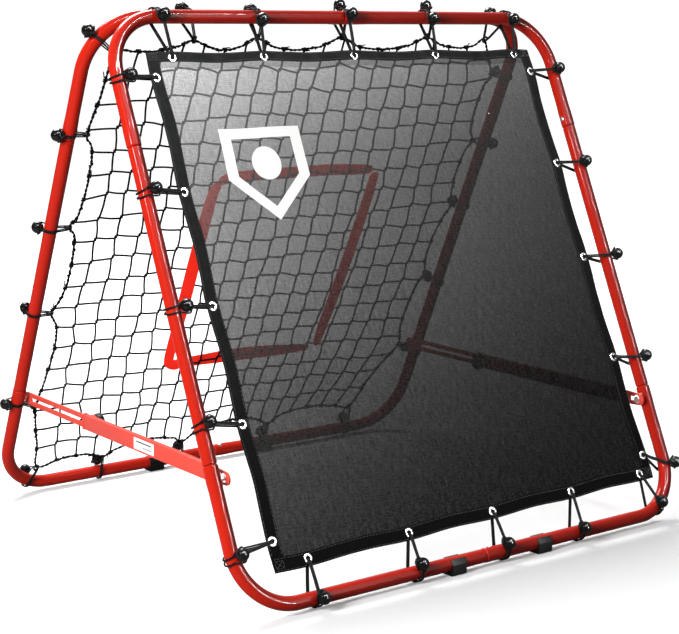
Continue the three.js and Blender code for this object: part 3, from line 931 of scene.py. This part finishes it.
# each ball's place along its side of the frame, and its angle round the tube
FRONT_BALLS = {
    "top": [(-386, 80), (-188, 59), (7, 86), (198, 66), (403, 67)],
    "bottom": [(-354, 99), (-146, 62), (46, 65), (226, 80), (434, 77)],
    "left": [(109, 48), (306, 68), (502, 38), (693, 78), (906, 76)],
    "right": [(114, 82), (308, 84), (498, 133), (703, 133), (912, 116)],
}
# the side, the ball's place along it and round it, and where on the net's rope it pulls
REAR_BALLS = [
    ("left", 220, 183, (-452, 222)), ("left", 410, 152, (-451, 409)), ("left", 589, 108, (-454, 592)),
    ("left", 790, 176, (-448, 806)), ("right", 124, 45, (447, 122)), ("right", 280, 195, (454, 273)),
    ("right", 427, 45, (455, 428)), ("right", 620, 45, (442, 594)), ("right", 805, 45, (433, 782)),
    ("top", -304, 104, (-278, 45)), ("top", -161, 100, (-146, 42)), ("top", 25, 155, (43, 40)),
    ("top", 231, 155, (250, 41)), ("top", 411, 101, (400, 47)), ("left", 41, 168, (-430, 70)),
    ("bottom", -433, 69, (-417, 958)), ("bottom", -272, 41, (-272, 961)), ("bottom", -81, 41, (-86, 956)),
    ("bottom", 130, 41, (127, 948)), ("bottom", 352, 41, (346, 936)),
]


def build_front_bungees():
    # how far the far run stands to one side of the near one, and how far apart its cords lie
    lean = {"top": (-8, -2, -4, -6, -8), "bottom": (-6, -9, -8, -6, -10),
            "left": (-7, -6, -7, -3, -9), "right": (7, 7, 5, 6, 7)}
    splay = {"top": 2.6, "bottom": 1.8, "left": 3.2, "right": 2.6}
    drop = {"top": -5.0, "bottom": 0.0, "left": 7.0, "right": 0.0}
    for side, balls in FRONT_BALLS.items():
        way = lengthwise(side)
        for i, ((v, phi), eye) in enumerate(zip(balls, EYES[side])):
            bungee(f"bungee_front_{side}_{i + 1}", FRONT, side, front, v, phi, on_cloth(*eye),
                   replaces=[f"front_bungee_{side}_{i + 1}"], skew=(0.0, lean[side][i] * way),
                   splay=splay[side], drop=drop[side] * way)


def lengthwise(side):
    """1 where a tie's lengthwise direction runs with x or s, -1 where it runs against it."""
    along = tie_frame(front, side, 300.0)[3]
    ahead = (1, 0) if side in ("top", "bottom") else (0, 1)
    return 1.0 if along.dot(front(*ahead) - front(0, 0)) > 0 else -1.0


def build_rear_bungees():
    """Each holds the net's edge rope out to the tube."""
    for i, (side, v, phi, (x, s)) in enumerate(REAR_BALLS):
        spread = 7.0 if side == "top" else 3.0
        bungee(f"bungee_rear_{i + 1}", REAR, side, rear, v, 360 - phi, on_net(x, s), flip=-1.0,
               skew=(spread, -spread), splay=2.6, hook=True)


# ---------------------------------------------------------------- rear net

LEFT_EDGE = [(-430, 70), (-441, 150), (-452, 222), (-437, 252), (-432, 300), (-433, 345), (-438, 384),
             (-451, 409), (-438, 428), (-432, 475), (-433, 530), (-441, 566), (-454, 592), (-437, 622),
             (-432, 670), (-436, 722), (-441, 765), (-448, 806), (-440, 850), (-428, 900), (-417, 958)]
TOP_EDGE = [(-430, 70), (-395, 65), (-350, 65), (-310, 57), (-278, 45), (-245, 58), (-212, 64), (-180, 58),
            (-146, 42), (-105, 58), (-55, 65), (0, 58), (43, 40), (85, 58), (140, 65), (200, 60), (250, 41),
            (290, 57), (335, 63), (375, 58), (400, 47)]
RIGHT_EDGE = [(400, 47), (428, 92), (450, 122), (438, 150), (435, 200), (440, 245), (454, 273), (443, 300),
              (439, 350), (444, 400), (455, 428), (443, 455), (433, 500), (431, 560), (442, 594), (430, 625),
              (423, 670), (422, 730), (433, 782), (405, 822), (375, 872), (346, 936)]
BOTTOM_EDGE = [(-417, 958), (-372, 947), (-325, 945), (-296, 951), (-272, 961), (-245, 946), (-200, 935),
               (-150, 935), (-110, 943), (-86, 956), (-62, 940), (-15, 924), (40, 920), (92, 928), (127, 948),
               (155, 929), (200, 920), (250, 921), (300, 928), (346, 936)]
CELLS_X, CELLS_S = 19, 19
INSIDE = [(j, i) for j in range(1, CELLS_S) for i in range(1, CELLS_X)]
KNOT_RISE = 0.6
ROPE_LAY = 19.0


def edge_points(edge, count):
    dense = spline(flat(edge), 6)
    return polyline(dense, runs(dense)[-1] / count)


def net_nodes():
    """Knot places: the edge is fixed to the rope and the inside is let go slack until it settles."""
    nx, ns = CELLS_X, CELLS_S
    left, right = edge_points(LEFT_EDGE, ns), edge_points(RIGHT_EDGE, ns)
    top, bottom = edge_points(TOP_EDGE, nx), edge_points(BOTTOM_EDGE, nx)
    g = [[None] * (nx + 1) for _ in range(ns + 1)]
    for j in range(ns + 1):
        for i in range(nx + 1):
            u, v = i / nx, j / ns
            p = left[j] * (1 - u) + right[j] * u + top[i] * (1 - v) + bottom[i] * v
            p -= top[0] * ((1 - u) * (1 - v)) + top[nx] * (u * (1 - v))
            p -= bottom[0] * ((1 - u) * v) + bottom[nx] * (u * v)
            g[j][i] = p
    for j in range(ns + 1):
        g[j][0], g[j][nx] = left[j], right[j]
    g[0], g[ns] = top, bottom
    rnd = random.Random(11)
    # how hard each length of twine pulls, across and down
    wx, wy = ([[1.0 + rnd.uniform(-0.22, 0.22) for _ in range(nx + 1)] for _ in range(ns + 1)]
              for _ in range(2))
    for _ in range(160):
        for j, i in INSIDE:
            a, b = wx[j][i - 1], wx[j][i]
            c, d = wy[j - 1][i], wy[j][i]
            pulls = g[j][i - 1] * a + g[j][i + 1] * b + g[j - 1][i] * c + g[j + 1][i] * d
            g[j][i] = pulls / (a + b + c + d)
    for j, i in INSIDE:
        g[j][i] += Vector((rnd.uniform(-1.6, 1.6), rnd.uniform(-1.6, 1.6), 0))
    return g


def net_depth(x, s):
    """The net hangs a little behind its frame's plane in the middle, out of the way of the strap."""
    u, v = (x + 450) / 900, (s - 60) / 890
    return 2.0 * math.sin(math.pi * min(1, max(0, u))) * math.sin(math.pi * min(1, max(0, v)))


def on_net(x, s, lift=0.0):
    return rear(x, s, net_depth(x, s) + lift)


def build_twine(g):
    """Each knot is a short slanting body: one end takes the twine from above and from the right,
    the other end the twine from below and from the left."""
    nx, ns = CELLS_X, CELLS_S
    rnd = random.Random(5)
    twine = Shape()
    high, low = ([[p.copy() for p in row] for row in g] for _ in range(2))
    for j, i in INSIDE:
        turn = Vector((rnd.uniform(1.5, 2.8), rnd.uniform(-3.5, -2.3), 0))
        high[j][i] += turn
        low[j][i] -= turn

    def strand(p, q, first, last):
        span = q - p
        side = Vector((-span.y, span.x, 0)).normalized() * rnd.uniform(-1.4, 1.4)
        path = [p, p.lerp(q, 0.14) + side * 0.3, p.lerp(q, 0.5) + side, p.lerp(q, 0.86) + side * 0.4, q]
        heights = (first, 0.0, 0.0, 0.0, last)
        pts = spline([on_net(a.x, a.y, h) for a, h in zip(path, heights)], 3)
        sweep(twine, pts, 2.0, 6, caps=False)

    for j in range(1, ns):
        for i in range(nx):
            strand(high[j][i], low[j][i + 1], KNOT_RISE, -KNOT_RISE)
    for i in range(1, nx):
        for j in range(ns):
            strand(low[j][i], high[j + 1][i], -KNOT_RISE, KNOT_RISE)
    for j, i in INSIDE:
        knot(twine, high[j][i], low[j][i], rnd)
    twine.make("net_twine", REAR, [TWINE], ["rear_net"], sharp=70)
    return rnd


def wobbly(p):
    """A point of the edge rope moved a little, as a laid rope strays."""
    along, down = (noise.noise(Vector((p.x * 0.06, p.y * 0.06, k))) for k in (1.0, 7.0))
    return p + Vector((along, down, 0)) * 1.8


def build_edge_rope(g, rnd):
    """Two strands laid round the net's edge, with the twine's end loops and lacing on them."""
    nx, ns = CELLS_X, CELLS_S
    rope = Shape()
    outline = LEFT_EDGE[::-1] + TOP_EDGE[1:] + RIGHT_EDGE[1:] + BOTTOM_EDGE[::-1][1:-1]
    pts = [wobbly(p) for p in spline(flat(outline), 10, closed=True)]
    pts = [on_net(p.x, p.y) for p in pts]
    total = runs(pts + [pts[0]])[-1]
    even = polyline(pts + [pts[0]], total / int(total / 2.2))[:-1]
    turns = round(total / ROPE_LAY)
    fr = frames_along(even, closed=True)

    def round_rope(k, along, r, ang):
        t, u, v = fr[k]
        return at_radius(even[k] + t * along, u, v, r, ang)

    def nearest(spot):
        return min(range(len(even)), key=lambda k: (even[k] - spot).length_squared)

    for half in (0.0, 0.5):
        line = [round_rope(k, 0.0, 1.2, TAU * (turns * k / len(even) + half)) for k in range(len(even))]
        sweep(rope, line, lambda i: 1.45 + 0.2 * math.sin(i * 0.31 + 2 * half), 7, closed=True)
    for cells in ([g[j][0] for j in range(1, ns)], [g[j][nx] for j in range(1, ns)],
                  g[0][1:nx], g[ns][1:nx]):
        # the mesh's end loops round the rope, knotted off with short tails
        for p in cells:
            k0 = nearest(on_net(p.x, p.y))
            t, u, v = fr[k0]
            coils = rnd.choice((1.6, 2.2, 2.7))
            loops = [round_rope(k0, k * 0.3 - 3.8, 3.3, TAU * coils * k / 25) for k in range(26)]
            sweep(rope, loops, 1.25, 6)
            tail = loops[-1]
            way = (t * rnd.uniform(0.4, 1.0) + u * rnd.uniform(-0.8, 0.8) + v * 0.2).normalized()
            tip = tail + way * rnd.uniform(6, 10) + u * rnd.uniform(-2, 2)
            sweep(rope, [tail, tail + way * 4, tip], 1.1, 5)
        # a few turns of the lacing twine between the knots
        for p, q in zip(cells, cells[1:]):
            if rnd.random() < 0.6:
                k0 = nearest(on_net(*(p.lerp(q, rnd.uniform(0.35, 0.65))).xy))
                lacing = []
                for k in range(15):
                    at = (k0 + k // 3) % len(even)
                    lacing.append(round_rope(at, (k % 3) * 0.7, 3.1, TAU * 1.1 * k / 14))
                sweep(rope, lacing, 1.1, 5)
    rope.make("net_edge_rope", REAR, [ROPE], sharp=70)


def build_net():
    g = net_nodes()
    build_edge_rope(g, build_twine(g))


def knot(shape, p, q, rnd):
    """A netting knot between its two ends: a core with one turn of twine laid round it."""
    a, b = on_net(p.x, p.y, KNOT_RISE), on_net(q.x, q.y, -KNOT_RISE)
    t = (b - a).normalized()
    n = (on_net(p.x, p.y, 2.0) - on_net(p.x, p.y, 0.0)).normalized()
    w = t.cross(n).normalized()
    for s0 in (-1.0, 1.0):
        core = [a - t * 0.6, a.lerp(b, 0.3) + w * s0 * 0.9, a.lerp(b, 0.7) + w * s0 * 0.9, b + t * 0.6]
        sweep(shape, spline(core, 2), 1.45, 6)
    turn = []
    turns = rnd.choice((1.15, 1.5))
    for k in range(13):
        f = k / 12
        ang = TAU * turns * f + rnd.uniform(-0.05, 0.05)
        turn.append(a.lerp(b, 0.22 + 0.5 * f) + w * (2.5 * math.cos(ang)) + n * (2.1 * math.sin(ang)))
    sweep(shape, turn, 1.2, 6)


STRAP_END = 9.0
STRAP_WIDTH = 0.028
STRAP_COLUMNS = 7


def strap_run(shape, line):
    """One side of the strap: (x, s, half width, height off the net) along its middle."""
    pts = spline(flat(p[:2] for p in line), 8)
    wid = spline(flat(p[2:] for p in line), 8)
    lens = runs(pts)
    last, cols = len(pts) - 1, STRAP_COLUMNS
    across = [c / (cols - 1) for c in range(cols)]
    verts = []
    for k, p in enumerate(pts):
        d = (pts[min(last, k + 1)] - pts[max(0, k - 1)]).normalized()
        side = Vector((-d.y, d.x, 0))
        rounding = min(1.0, (min(lens[k], lens[-1] - lens[k]) + 0.2) / STRAP_END)
        half = wid[k].x * math.sqrt(1 - (1 - rounding) ** 2)
        wave = 0.5 * noise.noise(Vector((lens[k] * 0.03, line[0][0] * 0.1, 0)))
        for layer in (1, -1):
            for c in across:
                f = c * 2 - 1
                q = p + side * (half * f)
                thick = 0.75 * (1 - 0.5 * abs(f) ** 6)
                verts.append(on_net(q.x, q.y, wid[k].y + wave * f + layer * thick))
    row = cols * 2

    def uv(c, run):
        return (run * MM, c * STRAP_WIDTH)

    faces, uvs = grid_layer(across, lens, uv, stride=row)
    under, under_uvs = grid_layer(across, lens, uv, base=cols, stride=row, turned=True)
    faces, uvs = faces + under, uvs + under_uvs
    for k in range(last):
        for c in (0, cols - 1):
            i0 = k * row + c
            faces.append([i0, i0 + cols, i0 + cols + row, i0 + row])
            uvs.append([(lens[k] * MM, 0)] * 4)
    for k in (0, last):
        faces.append([k * row + c for c in range(cols)] + [k * row + cols + c for c in reversed(range(cols))])
        uvs.append([(0, 0)] * row)
    shape.add(verts, faces, uvs)


def build_zone():
    """The strike zone: flat red webbing laced through the net, folded at its corners."""
    left = [(-152, 336, 10, -3.2), (-160, 356, 12, -3.4), (-163, 400, 13.5, -3.6), (-165, 500, 14.5, -3.6),
            (-166, 600, 14.5, -3.6), (-169, 690, 12.5, -3.6), (-170, 728, 11.5, -3.5),
            (-166, 744, 10.5, -3.4), (-152, 753, 9.5, -3.2), (-136, 754, 8, -3.0)]
    bottom = [(-158, 752, 9, 2.8), (-138, 753, 11, 3.2), (-90, 752, 13.0, 3.4), (0, 751, 15.5, 3.6),
              (90, 754, 13.5, 3.6), (150, 757, 9.5, 3.4), (184, 757, 7.0, 3.2)]
    right = [(196, 752, 9, -3.4), (199, 700, 13, -3.6), (206, 620, 14, -3.6), (213, 520, 14, -3.6),
             (217, 420, 13, -3.6), (218, 350, 11.5, -3.4), (215, 334, 10, -3.2)]
    top = [(216, 331, 9, 3.2), (180, 329, 11.5, 3.4), (100, 326, 12.5, 3.6), (0, 327, 12.5, 3.6),
           (-90, 328, 12, 3.4), (-125, 330, 11, 3.2), (-150, 338, 10, 3.0)]
    shape = Shape()
    for line in (left, bottom, right, top):
        strap_run(shape, line)
    shape.make("strike_zone_webbing", REAR, [STRAP], ["strike_zone_strap"], sharp=60)


# ---------------------------------------------------------------- small metal and plastic pieces

def refine(node, body, material, width, segments=2, sharp=35):
    """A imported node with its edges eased: the same shape, rebuilt so it can be bevelled."""
    bm = bmesh.new()
    bm.from_mesh(frame["nodes"][node].data)
    bmesh.ops.remove_doubles(bm, verts=bm.verts, dist=2e-6)
    bmesh.ops.dissolve_limit(bm, angle_limit=math.radians(1.0), verts=bm.verts, edges=bm.edges)
    edges = [e for e in bm.edges if len(e.link_faces) == 2 and e.calc_face_angle(0) > math.radians(sharp)]
    bmesh.ops.bevel(bm, geom=edges, offset=width * MM, segments=segments, profile=0.5,
                    affect="EDGES", clamp_overlap=True)
    mesh = bpy.data.meshes.new(f"{node}_shell")
    bm.to_mesh(mesh)
    bm.free()
    mesh.materials.append(material)
    mesh.polygons.foreach_set("material_index", [0] * len(mesh.polygons))
    place(mesh.name, mesh, body, [node], sharp)


def build_hardware():
    for side, sx in SIDES:
        refine(f"{side}_brace_bar", f"{side}_bar", RED_BRACE_SHEEN, 0.45)
        refine(f"{side}_brace_sleeve", f"{side}_sleeve", RED_BRACE_SHEEN, 0.8, 3)
        refine(f"{side}_brace_stud", FRONT, EYELET, 0.6)
        refine(f"{side}_brace_pivot", REAR, RED_BRACE_SHEEN, 0.6)
        refine(f"{side}_hinge_lug_front", FRONT, RED, 0.4)
        refine(f"{side}_hinge_lug_rear", REAR, RED, 0.4)
        refine(f"{side}_hinge_bolt", REAR, ZINC, 0.4)
        for label, body in (("front", FRONT), ("rear", REAR)):
            refine(f"{label}_foot_{side}", body, FOOT, 1.2, 3, 30)
        build_knob(side, sx)
        build_lip(side)
    build_label()


KNOB_X = 458.2


def build_knob(side, sx):
    """A black lobed hand knob on a steel pin."""
    lo, hi = (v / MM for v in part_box(f"{side}_brace_knob"))
    centre = (lo + hi) / 2
    base = Vector((sx * KNOB_X, centre.y, centre.z))
    out, inward = Vector((sx, 0, 0)), Vector((-sx, 0, 0))
    big = (hi.y - lo.y) / 2
    grip = [(0, 0.0), (big - 2.7, 0.0), (big - 1.3, 0.7), (big - 0.3, 2.2), (big, 4.5), (big, 8.5),
            (big - 0.5, 11.0), (big - 1.9, 13.0), (big - 4.5, 14.2), (11.0, 14.8), (7.5, 14.6),
            (6.8, 13.6), (6.2, 13.3), (0, 13.3)]
    cap = [(0, -0.2), (5.6, -0.2), (5.6, 0.5), (4.9, 0.9), (2.2, 1.1), (1.9, 0.6), (0, 0.6)]
    length = max(hi.x, -lo.x) - KNOB_X
    pin = [(0, -0.5), (2.5, -0.5), (2.5, length - 0.6), (2.0, length), (0, length)]

    def lobe(ang, r):
        return 1.0 - 0.055 * (0.5 - 0.5 * math.cos(8 * ang)) * smooth((r - 10) / 6)

    shape = Shape()
    lathe(shape, base, inward, grip, 96, lobe=lobe)
    lathe(shape, base, out, pin, 20, mat=1)
    lathe(shape, base + inward * 13.2, inward, cap, 24, mat=1)
    shape.make(f"{side}_knob", f"{side}_knob", [KNOB, ZINC], [f"{side}_brace_knob"], sharp=35)


def build_lip(side):
    """The rolled mouth of the sleeve, where the bar goes in."""
    lo, hi = (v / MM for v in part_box(f"{side}_brace_sleeve"))
    outer = hi.x if side == "right" else lo.x
    half_x, half_z, corner = 4.5, 13.5, 2.0
    mid, level, mouth = outer - math.copysign(half_x, outer), (lo.z + hi.z) / 2, hi.y - 2.2
    ring = []
    for cx, cz, start in ((1, 1, 0.0), (-1, 1, 0.25), (-1, -1, 0.5), (1, -1, 0.75)):
        for k in range(5):
            ang = TAU * (start + 0.25 * k / 4)
            ring.append(Vector((mid + cx * (half_x - corner) + corner * math.cos(ang), mouth,
                                level + cz * (half_z - corner) + corner * math.sin(ang))))
    shape = Shape()
    sweep(shape, polyline(ring + [ring[0]], 1.5)[:-1], 1.7, 10, closed=True)
    shape.make(f"{side}_sleeve_lip", f"{side}_sleeve", [RED_BRACE_SHEEN], sharp=60)


def build_label():
    """A plain white sticker with generic bars on the left sleeve's outer face."""
    lo, hi = (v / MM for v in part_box("left_brace_sleeve"))
    x, z0 = lo.x, (lo.z + hi.z) / 2
    y0, y1 = HINGE.y - 132, HINGE.y - 66
    shape = Shape()

    def slab(ya, yb, za, zb, t0, t1, mat):
        corners = ((ya, za), (yb, za), (yb, zb), (ya, zb))
        verts = [(x - t, y, z) for t in (t1, t0) for y, z in corners]
        faces = [[0, 1, 2, 3], [4, 7, 6, 5], [0, 4, 5, 1], [1, 5, 6, 2], [2, 6, 7, 3], [3, 7, 4, 0]]
        shape.add(verts, faces, None, mat)

    slab(y0, y1, z0 - 10, z0 + 10, 0.05, 0.30, 0)
    slab(y0 + 8, y1 - 8, z0 + 3.0, z0 + 5.4, 0.30, 0.36, 1)
    slab(y0 + 8, y1 - 30, z0 - 4.6, z0 - 3.0, 0.30, 0.36, 1)
    shape.make("brace_label", "left_sleeve", [LABEL, STITCH], sharp=30)


# ---------------------------------------------------------------- stage

ROOM_NEAR, ROOM_FAR, ROOM_HIGH = 0.01, 0.52, 0.16
FLOOR_NEAR, FLOOR_FAR = 0.16, 0.95
WHITE = (1.0, 1.0, 1.0, 1.0)


def build_floor():
    mesh = bpy.data.meshes.new("studio_floor")
    half = 60.0
    corners = [(-half, -half, 0), (half, -half, 0), (half, half, 0), (-half, half, 0)]
    mesh.from_pydata(corners, [], [[0, 1, 2, 3]])
    floor = link("studio_floor", mesh)
    m = Mat("mat_floor")
    shade = m.mix(m.noise(2.0, 2.0, 0.5), (0.76, 0.765, 0.765), (0.78, 0.785, 0.785))
    m.set(color=shade, rough=0.9, spec=0.0)
    away = m.node("ShaderNodeVectorMath", operation="LENGTH")
    m.feed(away, m.position())
    m.set(emit=WHITE, emit_power=m.ramp(away.outputs["Value"], 0.9, 4.5, FLOOR_NEAR, FLOOR_FAR))
    # the floor that the object itself sees is dimmer, as a small sweep in a dark room is
    dim = m.feed(m.node("ShaderNodeBsdfDiffuse"), (0.17, 0.17, 0.17, 1))
    seen = m.feed(m.node("ShaderNodeMixShader"), m.camera_ray(), dim, m.bsdf.outputs[0])
    m.fill(m.nodes["Material Output"].inputs[0], seen)
    mesh.materials.append(m.mat)


def build_world():
    """A white backdrop to the camera. The object sees it past itself, and a dark room nearer by."""
    world = bpy.data.worlds.new("studio")
    bpy.context.scene.world = world
    world.use_nodes = True
    w = Nodes(world.node_tree)
    way = w.coordinate("Generated")
    beyond = w.node("ShaderNodeVectorMath", operation="DOT_PRODUCT")
    w.feed(beyond, way, (0.6, 0.8, 0.0))
    far = w.ramp(beyond.outputs["Value"], 0.15, 0.75, ROOM_NEAR, ROOM_FAR)
    high = w.ramp(w.split(way)[2], 0.34, 0.44, 0.0, ROOM_HIGH)
    room = w.feed(w.nodes["Background"], w.math("MAXIMUM", far, high), 1.0)
    backdrop = w.feed(w.node("ShaderNodeBackground"), WHITE, 1.05)
    seen = w.feed(w.node("ShaderNodeMixShader"), w.camera_ray(), room, backdrop)
    w.fill(w.nodes["World Output"].inputs[0], seen)


def area(name, spot, aim, size, power, seen_in="both"):
    """A soft light. seen_in says whether it lights surfaces, shows in their gloss, or both."""
    light = bpy.data.lights.new(name, "AREA")
    light.shape = "RECTANGLE"
    light.size, light.size_y = size
    light.energy = power
    obj = link(name, light)
    obj.location = spot
    obj.rotation_euler = (Vector(aim) - Vector(spot)).to_track_quat("-Z", "Y").to_euler()
    obj.visible_diffuse = seen_in != "gloss"
    obj.visible_glossy = seen_in != "diffuse"


def build_stage():
    bpy.context.scene.view_settings.view_transform = "Standard"
    build_floor()
    build_world()
    area("key_left", (-2.75, -1.0, 1.45), (0, 0, 0.5), (0.8, 1.8), 135, "diffuse")
    area("glint_left", (-2.75, -1.0, 1.9), (0, 0, 0.5), (0.30, 0.30), 18, "gloss")
    area("strip_right", (1.5, -3.6, 1.9), (0, -0.2, 0.6), (0.07, 3.4), 300, "gloss")
    area("back_top", (0.2, 2.0, 3.4), (0, -0.1, 0.2), (2.2, 1.5), 255)
    area("strip_top", (0.0, -2.6, 3.6), (0, 0, 0.5), (4.5, 0.20), 340, "gloss")


def build_camera():
    yaw, pitch, roll = math.radians(36.844), math.radians(10.239), math.radians(0.26)
    fwd = Vector((math.sin(yaw) * math.cos(pitch), math.cos(yaw) * math.cos(pitch), -math.sin(pitch)))
    r0 = Vector((math.cos(yaw), -math.sin(yaw), 0))
    u0 = r0.cross(fwd)
    right = r0 * math.cos(roll) + u0 * math.sin(roll)
    up = u0 * math.cos(roll) - r0 * math.sin(roll)
    cam = bpy.data.cameras.new("camera")
    cam.sensor_fit = "HORIZONTAL"
    cam.sensor_width = 36.0
    cam.lens = 87.16
    cam.clip_end = 100.0
    m = Matrix((right, up, -fwd)).transposed().to_4x4()
    m.translation = (HINGE + Vector((-1818.0, -2443.9, -4.5))) * MM
    obj = link("camera", cam)
    obj.matrix_world = m
    bpy.context.scene.camera = obj


build_camera()
build_stage()
build_frames()
build_panel()
build_front_bungees()
build_net()
build_zone()
build_rear_bungees()
build_hardware()
